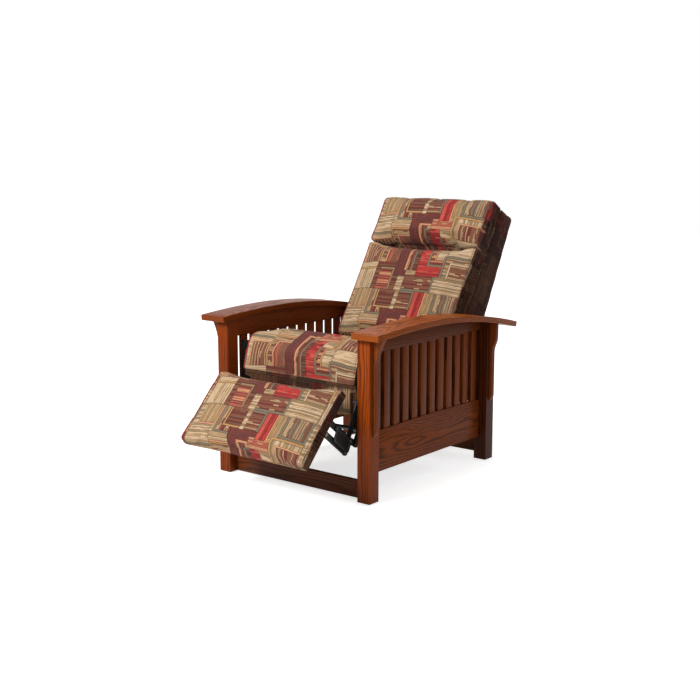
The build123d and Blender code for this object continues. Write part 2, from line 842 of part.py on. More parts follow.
with BuildPart() as back_arm_bolts:
    for side in (-1, 1):
        headed_pin(side, back_bolt_places, back_arm_seat + bolt_head_height,
                   post_outer_x - bolt_length / 2, bolt_radius, bolt_head_radius,
                   bolt_head_height)
finish(back_arm_bolts, "back_arm_bolts")


# Footrest linkage
# Side plates on the seat box, then the two lower links in the inner layer and the two upper
# links in the outer layer.

side_plate_x = seat_box_half_width
inner_layer_x = side_plate_x + side_plate_thickness + plate_gap
outer_layer_x = inner_layer_x + link_thickness + plate_gap
rivet_hole = rivet_radius + pivot_clearance
boss = link_width / 2
head_gap = plate_gap / 2
inner_head_x = inner_layer_x - head_gap - rivet_head_height
outer_head_x = outer_layer_x + link_thickness + head_gap + rivet_head_height
ground_head_x = inner_layer_x + link_thickness + head_gap + rivet_head_height
tail_along_share, tail_down_share = side_plate_tail_shares
plate_end = seat_point(seat_box_start + side_plate_length * tail_along_share,
                       -seat_rail_depth * tail_down_share)
plate_front = seat_point(seat_box_start + boss, -seat_rail_depth * side_plate_nose_share)


def link(side, x, pivots):
    """Flat link of one width with a rivet hole at each pivot; its first and last are its ends."""
    strip(side, x, link_thickness, [[(pivots[0], boss), (pivots[-1], boss)]],
          (pivots, rivet_hole))


def double_rivet(side, places):
    """Rivets through both layers of links, with a head on each end."""
    headed_pin(side, places, outer_head_x, inner_head_x, rivet_radius, rivet_head_radius,
               rivet_head_height)
    with BuildSketch(side_plane(side * inner_head_x)) as head:
        discs(places, rivet_head_radius)
    extrude(head.sketch, amount=side * rivet_head_height)


for hand, hand_name in hands:
    with BuildPart() as footrest_side_plate:
        strip(hand, side_plate_x, side_plate_thickness,
              [[(plate_front, boss), (lower_pivot, boss), (rear_pivot, boss),
                (plate_end, side_plate_end)]],
              ([lower_pivot, rear_pivot], rivet_hole), (plate_bolt_places, bolt_hole))
    finish(footrest_side_plate, f"footrest_side_plate_{hand_name}")

with BuildPart() as seat_plate_bolts:
    for side in (-1, 1):
        for places, bolt_seat in (
            (plate_bolt_places, side_plate_x + side_plate_thickness),
            (hinge_bolt_places, hinge_plate_outer_x),
        ):
            headed_pin(side, places, bolt_seat + bolt_head_height, bolt_seat - bolt_length,
                       bolt_radius, bolt_head_radius, bolt_head_height)
finish(seat_plate_bolts, "seat_plate_bolts")

with BuildPart() as side_plate_rivets:
    for side in (-1, 1):
        headed_pin(side, [lower_pivot, rear_pivot], ground_head_x, side_plate_x, rivet_radius,
                   rivet_head_radius, rivet_head_height)
finish(side_plate_rivets, "side_plate_rivets")

with BuildPart() as lower_front_links:
    for side in (-1, 1):
        link(side, inner_layer_x, [lower_pivot, knee, link_tail])
finish(lower_front_links, "lower_front_links")

with BuildPart() as lower_rear_links:
    for side in (-1, 1):
        link(side, inner_layer_x, [rear_pivot, rear_knee])
finish(lower_rear_links, "lower_rear_links")

with BuildPart() as link_cross_tube:
    round_tube(link_tube_centre, inner_layer_x, link_tube_radius, link_tube_wall)
finish(link_cross_tube, "link_cross_tube")

with BuildPart() as upper_long_links:
    for side in (-1, 1):
        strip(side, outer_layer_x, link_thickness, [[(rear_knee, boss), (knee, boss)],
              [(knee, boss), (pad_pivot, boss)]],
              ([rear_knee, knee, pad_pivot], rivet_hole))
finish(upper_long_links, "upper_long_links")

with BuildPart() as upper_short_links:
    for side in (-1, 1):
        link(side, outer_layer_x, [link_tail, pad_tail])
finish(upper_short_links, "upper_short_links")

with BuildPart() as front_knee_rivets:
    for side in (-1, 1):
        double_rivet(side, [knee, link_tail])
finish(front_knee_rivets, "front_knee_rivets")

with BuildPart() as rear_knee_rivets:
    for side in (-1, 1):
        double_rivet(side, [rear_knee])
finish(rear_knee_rivets, "rear_knee_rivets")


# Footrest

board_front_depth = footrest_pad_thickness + fabric_gap
board_back_depth = board_front_depth + footrest_board_thickness
board_half_width = footrest_half_width - footrest_board_margin
with BuildPart() as footrest_cushion:
    cushion(shifted(pad_plane(footrest_pad_thickness), -footrest_length / 2),
            2 * footrest_half_width, footrest_length, footrest_pad_thickness,
            footrest_pad_crown, footrest_pad_corner, footrest_pad_bulge)
finish(footrest_cushion, "footrest_cushion")

with BuildPart() as footrest_board:
    with BuildSketch(pad_plane(board_front_depth)):
        with Locations((0, -footrest_length / 2)):
            RectangleRounded(2 * board_half_width, footrest_length - 2 * footrest_board_margin,
                             footrest_pad_corner - footrest_board_margin)
    extrude(amount=-footrest_board_thickness)
finish(footrest_board, "footrest_board")

bracket_up_end = footrest_pivot_along - bracket_up_reach
bracket_down_end = footrest_pivot_along + bracket_down_reach
bracket_ends = [
    pad_point(along, board_back_depth + bracket_thickness)
    for along in (bracket_up_end, bracket_down_end)
]
bracket_outer_x = inner_layer_x + link_thickness
for hand, hand_name in hands:
    with BuildPart() as footrest_bracket:
        with BuildSketch(side_plane(hand * inner_layer_x)):
            hull_of_discs((pad_pivot, bracket_boss), (pad_tail, bracket_boss),
                          (bracket_ends[0], bracket_thickness), (bracket_ends[1], bracket_thickness))
            discs([pad_pivot, pad_tail], rivet_hole, Mode.SUBTRACT)
        extrude(amount=hand * link_thickness)
        with BuildSketch(pad_plane(board_back_depth)):
            with Locations((hand * bracket_outer_x, -(bracket_up_end + bracket_down_end) / 2)):
                Rectangle(bracket_flange_width, bracket_down_end - bracket_up_end,
                          align=(Align.MAX if hand > 0 else Align.MIN, Align.CENTER))
        extrude(amount=-bracket_thickness)
    finish(footrest_bracket, f"footrest_bracket_{hand_name}")

with BuildPart() as footrest_rivets:
    for side in (-1, 1):
        double_rivet(side, [pad_pivot, pad_tail])
finish(footrest_rivets, "footrest_rivets")


# Glide under the seat

swing_hole = rivet_radius + pivot_clearance
swing_outer_x = swing_link_x + link_thickness
for hand, hand_name in hands:
    with BuildPart() as base_plate:
        strip(hand, base_plate_x, base_plate_thickness,
              [[(foot, base_boss) for foot in swing_feet]],
              (swing_feet, swing_hole), (base_bolt_places, bolt_hole))
    finish(base_plate, f"base_plate_{hand_name}")

with BuildPart() as base_plate_bolts:
    for side in (-1, 1):
        headed_pin(side, base_bolt_places, base_plate_x - bolt_head_height,
                   base_plate_x - bolt_head_height + bolt_length, bolt_radius, bolt_head_radius,
                   bolt_head_height)
finish(base_plate_bolts, "base_plate_bolts")

with BuildPart() as base_plate_rivets:
    for side in (-1, 1):
        headed_pin(side, swing_feet, swing_link_x - head_gap - rivet_head_height,
                   side_rail_inner_x, rivet_radius, rivet_head_radius, rivet_head_height)
finish(base_plate_rivets, "base_plate_rivets")

tube_end_x = swing_link_x - plate_gap
for name, top, foot in zip(("front", "rear"), swing_tops, swing_feet):
    with BuildPart() as swing_links:
        for side in (-1, 1):
            strip(side, swing_link_x, link_thickness, [[(top, boss), (foot, boss)]],
                  ([top, foot], swing_hole))
    finish(swing_links, f"{name}_swing_links")

    with BuildPart() as cross_tube:
        round_tube(top, tube_end_x, tube_radius, tube_wall)
        for side in (-1, 1):
            with BuildSketch(side_plane(side * (tube_end_x - tube_plug))):
                with Locations(top):
                    Circle(tube_radius - tube_wall / 2)
                    Circle(swing_hole, mode=Mode.SUBTRACT)
            extrude(amount=side * tube_plug)
    finish(cross_tube, f"{name}_cross_tube")

with BuildPart() as cross_tube_pins:
    for side in (-1, 1):
        headed_pin(side, swing_tops, swing_outer_x + head_gap + rivet_head_height,
                   tube_end_x - tube_plug, rivet_radius, tube_pin_head_radius,
                   rivet_head_height)
finish(cross_tube_pins, "cross_tube_pins")
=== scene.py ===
import bmesh
import bpy
import json
import numpy as np
from math import cos, exp, pi, radians, sin
from mathutils import Matrix, Vector

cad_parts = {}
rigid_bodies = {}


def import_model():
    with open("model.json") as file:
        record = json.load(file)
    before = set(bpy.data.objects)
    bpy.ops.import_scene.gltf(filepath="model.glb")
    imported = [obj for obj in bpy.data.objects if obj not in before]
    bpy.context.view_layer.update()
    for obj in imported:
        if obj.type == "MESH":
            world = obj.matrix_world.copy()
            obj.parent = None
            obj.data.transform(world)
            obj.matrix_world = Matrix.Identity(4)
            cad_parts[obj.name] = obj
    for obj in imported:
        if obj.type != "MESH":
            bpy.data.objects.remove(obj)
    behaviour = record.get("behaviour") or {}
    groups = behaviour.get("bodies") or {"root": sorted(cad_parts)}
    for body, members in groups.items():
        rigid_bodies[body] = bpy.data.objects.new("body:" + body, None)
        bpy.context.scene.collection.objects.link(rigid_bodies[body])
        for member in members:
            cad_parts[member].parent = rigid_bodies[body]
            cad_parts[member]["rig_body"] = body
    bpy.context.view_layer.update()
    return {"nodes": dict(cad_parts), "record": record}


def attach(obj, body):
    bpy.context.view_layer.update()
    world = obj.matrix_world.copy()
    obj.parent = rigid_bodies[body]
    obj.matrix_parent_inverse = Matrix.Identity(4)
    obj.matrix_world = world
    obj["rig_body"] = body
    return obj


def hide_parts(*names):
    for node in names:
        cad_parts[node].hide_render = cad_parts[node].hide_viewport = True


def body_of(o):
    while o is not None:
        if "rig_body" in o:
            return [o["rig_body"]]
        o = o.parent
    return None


# Mission reclining armchair: dressing of the oak, the cushions and the steel linkage.
# Lengths are in metres, x to the sitter's left, y to the rear and z up.

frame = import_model()

IN_METRE = 1000.0  # millimetres in a metre


# Colours

def srgb(red, green, blue):
    """Linear colour of a colour seen on a screen, from 0 to 255 a channel."""
    def linear(value):
        share = value / 255
        return share / 12.92 if share <= 0.04045 else ((share + 0.055) / 1.055) ** 2.4
    return (linear(red), linear(green), linear(blue), 1.0)


TAN = srgb(172, 142, 108)
CREAM = srgb(196, 170, 138)
KHAKI = srgb(142, 120, 88)
SALMON = srgb(194, 140, 104)
GOLD = srgb(176, 136, 88)
RED = srgb(174, 52, 50)
SCARLET = srgb(186, 78, 66)
WINE = srgb(144, 38, 40)
ROSE = srgb(166, 88, 70)
MAROON = srgb(112, 50, 43)
PLUM = srgb(100, 50, 47)
BROWN = srgb(122, 78, 60)
UMBER = srgb(78, 52, 43)
SAGE = srgb(118, 108, 90)
OUTLINE = srgb(52, 36, 32)


# Node trees

class Tree:
    """Short calls for building a node tree."""

    def __init__(self, tree):
        self.tree = tree
        self.step = 0

    def node(self, kind, inputs=(), **settings):
        made = self.tree.nodes.new(kind)
        self.step += 1
        made.location = (self.step % 12 * 180, -(self.step // 12) * 220)
        for key, value in settings.items():
            setattr(made, key, value)
        for key, value in dict(inputs).items():
            self.feed(made.inputs[key], value)
        return made

    def feed(self, socket, value):
        if isinstance(value, bpy.types.NodeSocket):
            self.tree.links.new(value, socket)
        else:
            socket.default_value = value

    def math(self, operation, *values):
        made = self.node("ShaderNodeMath", operation=operation)
        for i, value in enumerate(values):
            self.feed(made.inputs[i], value)
        return made.outputs[0]

    def vector(self, operation, *values):
        made = self.node("ShaderNodeVectorMath", operation=operation)
        for i, value in enumerate(values):
            self.feed(made.inputs["Scale" if operation == "SCALE" and i == 1 else i], value)
        return made.outputs["Value" if operation == "LENGTH" else "Vector"]

    def mix(self, factor, low, high, blend="MIX"):
        made = self.node("ShaderNodeMix", data_type="RGBA", blend_type=blend)
        for i, value in ((0, factor), (6, low), (7, high)):
            self.feed(made.inputs[i], value)
        return made.outputs[2]

    def split(self, value):
        return self.node("ShaderNodeSeparateXYZ", {0: value}).outputs

    def join(self, *values):
        return self.node("ShaderNodeCombineXYZ", dict(enumerate(values))).outputs[0]

    def noise(self, value, scale, detail=2.0, roughness=0.5):
        inputs = {"Vector": value, "Scale": scale, "Detail": detail, "Roughness": roughness}
        return self.node("ShaderNodeTexNoise", inputs).outputs["Fac"]

    def ramp(self, value, low, high):
        """The value stretched so that low becomes 0 and high becomes 1."""
        inputs = {"Value": value, "From Min": low, "From Max": high}
        return self.node("ShaderNodeMapRange", inputs, clamp=True).outputs[0]

    def place(self):
        """Place on the piece, in its own coordinates."""
        return self.node("ShaderNodeTexCoord").outputs["Object"]


def group(name, inputs, outputs):
    """Empty node group with sockets by name and kind, as (tree, its inputs, its output node)."""
    made = bpy.data.node_groups.new(name, "ShaderNodeTree")
    for way, sockets in (("INPUT", inputs), ("OUTPUT", outputs)):
        for socket_name, kind in sockets.items():
            made.interface.new_socket(socket_name, in_out=way, socket_type=f"NodeSocket{kind}")
    tree = Tree(made)
    entry = tree.node("NodeGroupInput").outputs
    return tree, entry, tree.node("NodeGroupOutput")


def placed(tree, name, inputs):
    """One use of a node group inside another tree."""
    made = tree.node("ShaderNodeGroup", node_tree=bpy.data.node_groups[name])
    for key, value in inputs.items():
        tree.feed(made.inputs[key], value)
    return made.outputs


def material(name, uniform=()):
    """New material as (material, its tree, its Principled shader with uniform values set)."""
    made = bpy.data.materials.new(name)
    made.use_nodes = True
    shader = made.node_tree.nodes["Principled BSDF"]
    for key, value in dict(uniform).items():
        shader.inputs[key].default_value = value
    return made, Tree(made.node_tree), shader


def bump(tree, shader, height, strength, distance):
    """Bump from a height into a shader's normal."""
    made = tree.node("ShaderNodeBump", {"Strength": strength, "Distance": distance,
                                        "Height": height})
    tree.feed(shader.inputs["Normal"], made.outputs[0])


def build_two_tone_group(name, texture, character):
    """Fine texture between two colours, and its height; character names its other number."""
    tree, entry, leave = group(
        name, {"Place": "Vector", "Scale": "Float", character: "Float", "Dark": "Color",
               "Light": "Color"}, {"Color": "Color", "Height": "Float"})
    height = tree.node(texture, {"Vector": entry["Place"], "Scale": entry["Scale"],
                                 character: entry[character]}).outputs["Fac"]
    tree.feed(leave.inputs["Color"], tree.mix(height, entry["Dark"], entry["Light"]))
    tree.feed(leave.inputs["Height"], height)


def two_toned(name, effect, sizes, dark, light, uniform=()):
    """Material in two colours of the fleck or the ribs, as (material, tree, shader, height)."""
    made, tree, shader = material(name, uniform)
    fine = placed(tree, effect, {"Place": tree.place(), "Dark": dark, "Light": light, **sizes})
    tree.feed(shader.inputs["Base Color"], fine["Color"])
    return made, tree, shader, fine["Height"]


# Meshes and objects

def mesh_of(bm, name):
    """Mesh from a finished bmesh."""
    mesh = bpy.data.meshes.new(name)
    bm.to_mesh(mesh)
    bm.free()
    return mesh


def bridge(bm, first, second):
    """Faces between two rings of as many vertices."""
    for i in range(len(first)):
        j = (i + 1) % len(first)
        bm.faces.new((first[i], first[j], second[j], second[i]))


def in_scene(name, data):
    """New object in the scene."""
    made = bpy.data.objects.new(name, data)
    bpy.context.scene.collection.objects.link(made)
    return made


def evaluated_mesh(made):
    """Mesh of an object with its modifiers applied."""
    depsgraph = bpy.context.evaluated_depsgraph_get()
    return bpy.data.meshes.new_from_object(made.evaluated_get(depsgraph))


def add_piece(name, mesh, finish, body, *nodes):
    """Put a finished mesh in the scene on its body, standing for CAD nodes."""
    made = in_scene(name, mesh)
    mesh.materials.clear()
    mesh.materials.append(finish)
    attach(made, body)
    if nodes:
        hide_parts(*nodes)
    return made


# Oak

OAK_LIGHT = srgb(150, 66, 12)
OAK_DARK = srgb(58, 19, 5)
# Painted shade: a darker oak for the side rails, slats and corbels, for the shade they stand in
PAINTED_SHADE_OAK_LIGHT = srgb(138, 66, 22)
PAINTED_SHADE_OAK_DARK = srgb(44, 16, 5)
OAK_PORE = srgb(30, 12, 7)
CORNER = radians(30)  # edges sharper than this are eased
SHARP = radians(28)   # edges sharper than this stay sharp in the shading


def build_oak_group():
    """Flat-sawn oak: growth rings about a log centre, open pores and slow colour drift."""
    tree, entry, leave = group(
        "oak_grain",
        {"Along": "Float", "Across": "Float", "Depth": "Float", "Ring": "Float",
         "Figure": "Float", "Light": "Color", "Dark": "Color", "Pore": "Color"},
        {"Color": "Color", "Roughness": "Float", "Height": "Float"})

    def scaled(along, across):
        """Place in the wood, scaled along the grain and across it."""
        return tree.join(tree.math("MULTIPLY", entry["Along"], along),
                         tree.math("MULTIPLY", entry["Across"], across),
                         tree.math("MULTIPLY", entry["Depth"], across))

    stretched = scaled(1.6, 6.0)
    drift = tree.math("SUBTRACT", tree.noise(stretched, 1.0, 2.0), 0.5)
    swell = tree.math("MULTIPLY", tree.math("MULTIPLY", drift, 0.05), entry["Figure"])
    ring_distance = tree.vector("LENGTH", tree.join(
        tree.math("ADD", entry["Across"], swell), tree.math("ADD", entry["Depth"], swell), 0.0))
    waver = tree.math("MULTIPLY", tree.math(
        "SUBTRACT", tree.noise(scaled(9.0, 120.0), 1.0, 3.0), 0.5), 0.9)
    rings = tree.math("ADD", tree.math("DIVIDE", ring_distance, entry["Ring"]), waver)
    turn = tree.math("FRACT", rings)
    early = tree.math("SUBTRACT", 1.0, tree.ramp(turn, 0.0, 0.42))
    late = tree.ramp(turn, 0.72, 1.0)
    shade = tree.math("MAXIMUM", early, tree.math("MULTIPLY", late, 0.55))
    streak = tree.noise(scaled(26.0, 900.0), 1.0, 2.0, 0.6)
    pore_noise = tree.noise(scaled(55.0, 1500.0), 1.0, 1.0)
    pore = tree.math("MULTIPLY", tree.ramp(pore_noise, 0.54, 0.66),
                     tree.ramp(shade, 0.15, 0.8))
    tone = tree.math("ADD", tree.math("MULTIPLY", shade, 0.68),
                     tree.math("MULTIPLY", tree.ramp(streak, 0.3, 0.75), 0.32))
    body = tree.mix(tone, entry["Light"], entry["Dark"])
    slow = tree.ramp(tree.noise(stretched, 0.7, 1.0), 0.3, 0.7)
    varied = tree.mix(tree.math("MULTIPLY", slow, 0.35), body, entry["Dark"])
    final = tree.mix(tree.math("MULTIPLY", pore, 0.8), varied, entry["Pore"])
    height = tree.math("SUBTRACT", tree.math("MULTIPLY", streak, 0.15), pore)
    roughness = tree.math("ADD", 0.30, tree.math("MULTIPLY", tone, 0.14))
    for key, value in (("Color", final), ("Roughness", roughness), ("Height", height)):
        tree.feed(leave.inputs[key], value)


def oak(name, along, log_centre, light, dark, ring, figure):
    """Stained oak with its grain along an axis and a log centre in the other two.

    ring is the width of a growth ring, and figure how far the rings wander."""
    made, tree, shader = material(name, {"Specular IOR Level": 0.07})
    xyz = tree.split(tree.place())
    length, across, depth = {"X": (0, 1, 2), "Y": (1, 0, 2), "Z": (2, 0, 1)}[along]
    grain = placed(tree, "oak_grain", {
        "Along": xyz[length],
        "Across": tree.math("SUBTRACT", xyz[across], log_centre[0]),
        "Depth": tree.math("SUBTRACT", xyz[depth], log_centre[1]),
        "Ring": ring, "Figure": figure, "Light": light, "Dark": dark, "Pore": OAK_PORE})
    tree.feed(shader.inputs["Base Color"], grain["Color"])
    tree.feed(shader.inputs["Roughness"], grain["Roughness"])
    bump(tree, shader, grain["Height"], 0.35, 0.0004)
    return made


def dressed(node, finish, arris, name):
    """Copy of a CAD piece with its arrises eased, in a finish; it stands for the piece."""
    bm = bmesh.new()
    bm.from_mesh(frame["nodes"][node].data)
    bmesh.ops.remove_doubles(bm, verts=bm.verts, dist=1e-6)
    bmesh.ops.dissolve_limit(bm, angle_limit=radians(0.5), verts=bm.verts, edges=bm.edges)
    corners = [e for e in bm.edges if e.is_manifold and e.calc_face_angle() > CORNER]
    bmesh.ops.bevel(bm, geom=corners, offset=arris, segments=2, profile=0.5,
                    affect="EDGES", clamp_overlap=True)
    mesh = mesh_of(bm, name)
    mesh.shade_smooth()
    mesh.set_sharp_from_angle(angle=SHARP)
    bodies = frame["record"]["behaviour"]["bodies"]
    body = next(body for body, members in bodies.items() if node in members)
    add_piece(name, mesh, finish, body, node)


def dress_oak():
    """Every oak piece in its own cut of oak."""
    # Painted shade: the front leg and arm on the sitter's right and the top rail on the left are
    # darker than the same oak on the other side, for how the light falls on each side
    for side, hand, side_shaded_leg_light, side_shaded_arm_light, side_shaded_arm_dark, side_shaded_rail_light in (
            (-1, "right", srgb(136, 58, 11), srgb(130, 61, 16), srgb(54, 20, 6),
             srgb(126, 57, 20)),
            (1, "left", OAK_LIGHT, srgb(160, 79, 19), srgb(62, 23, 6), srgb(108, 51, 18))):
        # node, cut, grain, log centre, light and dark colour, ring, figure, eased arris
        for node, cut, along, centre, light, dark, ring, figure, arris in (
                ("front_leg", "leg", "Z", (0.29, -0.52), side_shaded_leg_light, OAK_DARK,
                 0.0055, 0.5, 0.0009),
                # painted shade: the rear legs are a darker oak, for the shade they stand in
                ("rear_leg", "rear_leg", "Z", (0.29, 0.52), srgb(94, 43, 19), srgb(40, 16, 8),
                 0.0055, 0.5, 0.0009),
                ("arm", "arm", "Y", (0.35, 0.50), side_shaded_arm_light, side_shaded_arm_dark, 0.0058, 0.8, 0.0008),
                # painted shade: the bottom rails and the slats take the darker oak of the side
                # panels
                ("side_bottom_rail", "rail", "Y", (0.262, 0.165), PAINTED_SHADE_OAK_LIGHT, PAINTED_SHADE_OAK_DARK,
                 0.0062, 1.6, 0.0012),
                ("side_top_rail", "top_rail", "Y", (0.27, 0.50), side_shaded_rail_light, srgb(39, 15, 6),
                 0.006, 0.8, 0.0012),
                ("side_slats", "slat", "Z", (0.25, 0.9), PAINTED_SHADE_OAK_LIGHT, PAINTED_SHADE_OAK_DARK,
                 0.0065, 0.6, 0.0008)):
            finish = oak(f"oak_{cut}_{hand}", along, (side * centre[0], centre[1]),
                         light, dark, ring, figure)
            dressed(f"{node}_{hand}", finish, arris, f"oak_{node.removeprefix('side_')}_{hand}")
    # painted shade: the corbels take the darker oak of the side panels
    corbel = oak("oak_corbel", "Z", (0.30, -0.30), PAINTED_SHADE_OAK_LIGHT, PAINTED_SHADE_OAK_DARK, 0.0058, 0.6)
    stretcher = oak("oak_stretcher", "X", (-0.30, 0.02), srgb(112, 58, 30), srgb(52, 24, 12),
                    0.006, 1.0)
    for piece, finish in (("corbels", corbel), ("stretcher", stretcher)):
        for place in ("front", "rear"):
            dressed(f"{place}_{piece}", finish, 0.0012, f"oak_{place}_{piece}")


# Patchwork cloth

TILE = (540.0, 420.0)  # repeat of the woven pattern in millimetres
# Stripes of the cloth: the three colours that take turns
STRIPES = {
    "pale": (CREAM, TAN, KHAKI),
    "cream": (CREAM, CREAM, TAN),
    "dark": (BROWN, MAROON, UMBER),
    "mixed": (BROWN, TAN, MAROON),
    "rosy": (ROSE, SALMON, MAROON),
    "rust": (ROSE, BROWN, MAROON),
    "gold": (KHAKI, GOLD, TAN),
    "red": (RED, SCARLET, WINE),
    "plum": (PLUM, MAROON, PLUM),
    "dusky": (TAN, SAGE, BROWN),
}
# Sides of a block that carry its border, left or right and bottom or top: -1 is left or
# bottom, 1 right or top, 0 both and 3 neither
FRAME, ELL, GAMMA, TURNED, HOOK = (0, 0), (-1, -1), (-1, 1), (1, 1), (1, -1)
FOOT, CAP, CUP = (3, -1), (3, 1), (0, -1)
# Blocks of the woven pattern in millimetres on its repeat, the first under the rest: low
# corner, high corner, stripes, stripe pitch, 1 where the stripes stand, border width,
# border colour and the sides that carry the border
BLOCKS = (
    ((-500, -500), (900, 900), "pale", 7, 0, 0, TAN, FRAME),
    ((0, 0), (112, 92), "pale", 6, 1, 0, TAN, FRAME),
    ((0, 92), (112, 238), "cream", 8, 0, 9, GOLD, ELL),
    ((24, 124), (112, 222), "mixed", 6, 1, 8, SALMON, GAMMA),
    ((0, 238), (112, 330), "pale", 7, 0, 10, SAGE, FOOT),
    ((30, 330), (128, 420), "gold", 6, 1, 8, SALMON, HOOK),
    ((112, 0), (232, 124), "dark", 6, 0, 0, BROWN, FRAME),
    ((136, 0), (204, 100), "rosy", 6, 0, 8, KHAKI, TURNED),
    ((112, 124), (206, 262), "mixed", 6, 0, 9, GOLD, GAMMA),
    ((142, 124), (206, 232), "rust", 6, 1, 8, SALMON, GAMMA),
    ((112, 262), (262, 304), "pale", 6, 0, 9, SALMON, FOOT),
    ((128, 304), (244, 420), "mixed", 6, 1, 10, SAGE, ELL),
    ((160, 338), (244, 420), "dark", 6, 0, 8, GOLD, ELL),
    ((206, 66), (262, 336), "plum", 9, 1, 0, PLUM, FRAME),
    ((232, 290), (334, 336), "plum", 9, 0, 0, PLUM, FRAME),
    ((262, 0), (404, 72), "mixed", 6, 0, 10, SAGE, HOOK),
    ((250, 92), (308, 290), "mixed", 6, 1, 10, SALMON, GAMMA),
    ((278, 92), (308, 262), "dark", 6, 0, 9, SAGE, GAMMA),
    ((308, 72), (356, 262), "red", 10, 0, 0, RED, FRAME),
    ((308, 72), (420, 126), "red", 10, 0, 0, RED, FRAME),
    ((350, 116), (430, 228), "rosy", 6, 0, 10, SAGE, ELL),
    ((378, 146), (430, 228), "pale", 6, 0, 8, GOLD, GAMMA),
    ((308, 262), (404, 312), "rosy", 7, 0, 8, SALMON, CAP),
    ((262, 336), (334, 420), "mixed", 6, 0, 9, SAGE, TURNED),
    ((334, 304), (382, 420), "red", 10, 1, 0, RED, FRAME),
    ((382, 312), (430, 420), "gold", 6, 1, 8, SALMON, ELL),
    ((420, 70), (540, 172), "dusky", 6, 0, 10, SAGE, GAMMA),
    ((450, 70), (540, 142), "mixed", 6, 0, 8, CREAM, GAMMA),
    ((430, 172), (540, 226), "cream", 8, 0, 0, TAN, FRAME),
    ((404, 226), (540, 330), "pale", 6, 1, 10, GOLD, GAMMA),
    ((434, 226), (540, 300), "mixed", 6, 1, 8, SALMON, GAMMA),
    ((430, 330), (540, 420), "dusky", 6, 1, 10, SAGE, CUP),
)


# The tables hold shares from 0 to 1: lengths in metres, stripe pitches and border widths over
# WIDEST and the sides of a border, counted from -1, over SIDE_STEPS
WIDEST = 40.0
SIDE_STEPS = 4.0
WANDER, WANDER_SCALE = 1.4, 0.03     # how far the edges of blocks wander, and how quickly
STRIPE = 33.0                        # width of a stripe whose pitch is WIDEST
BEFORE = 500.0                       # keeps the count of stripes above nought
DASH = 24.0                          # length of the dashes in a stripe
STAGGER, STAGGER_TURN = 23.0, 4.1    # shift of the dashes, and its turn from stripe to stripe
DASH_SHARE = 0.12                    # share of the dash in what picks a colour
SECOND_FROM, THIRD_FROM = 0.4, 0.68  # picks from which the second and third colour are taken
UNLINED, LINE, LINE_DARK = 0.3, 0.3, 0.6  # dashes without a dark line; its width and depth
RIM, EDGE, RIM_DARK = 1.1, 1.2, 0.8  # dark rims inside a border and around a block
FREE = 1000.0                        # distance to a side that carries no border


def table(tree, share, rows):
    """Row of a table of colours, looked up by share; its outputs are colour and alpha."""
    made = tree.node("ShaderNodeValToRGB", {"Fac": share})
    ramp = made.color_ramp
    ramp.interpolation = "CONSTANT"
    ramp.elements.remove(ramp.elements[1])
    for i, row in enumerate(rows):
        stop = ramp.elements[0] if i == 0 else ramp.elements.new(i / len(rows))
        stop.color = row
    return made.outputs


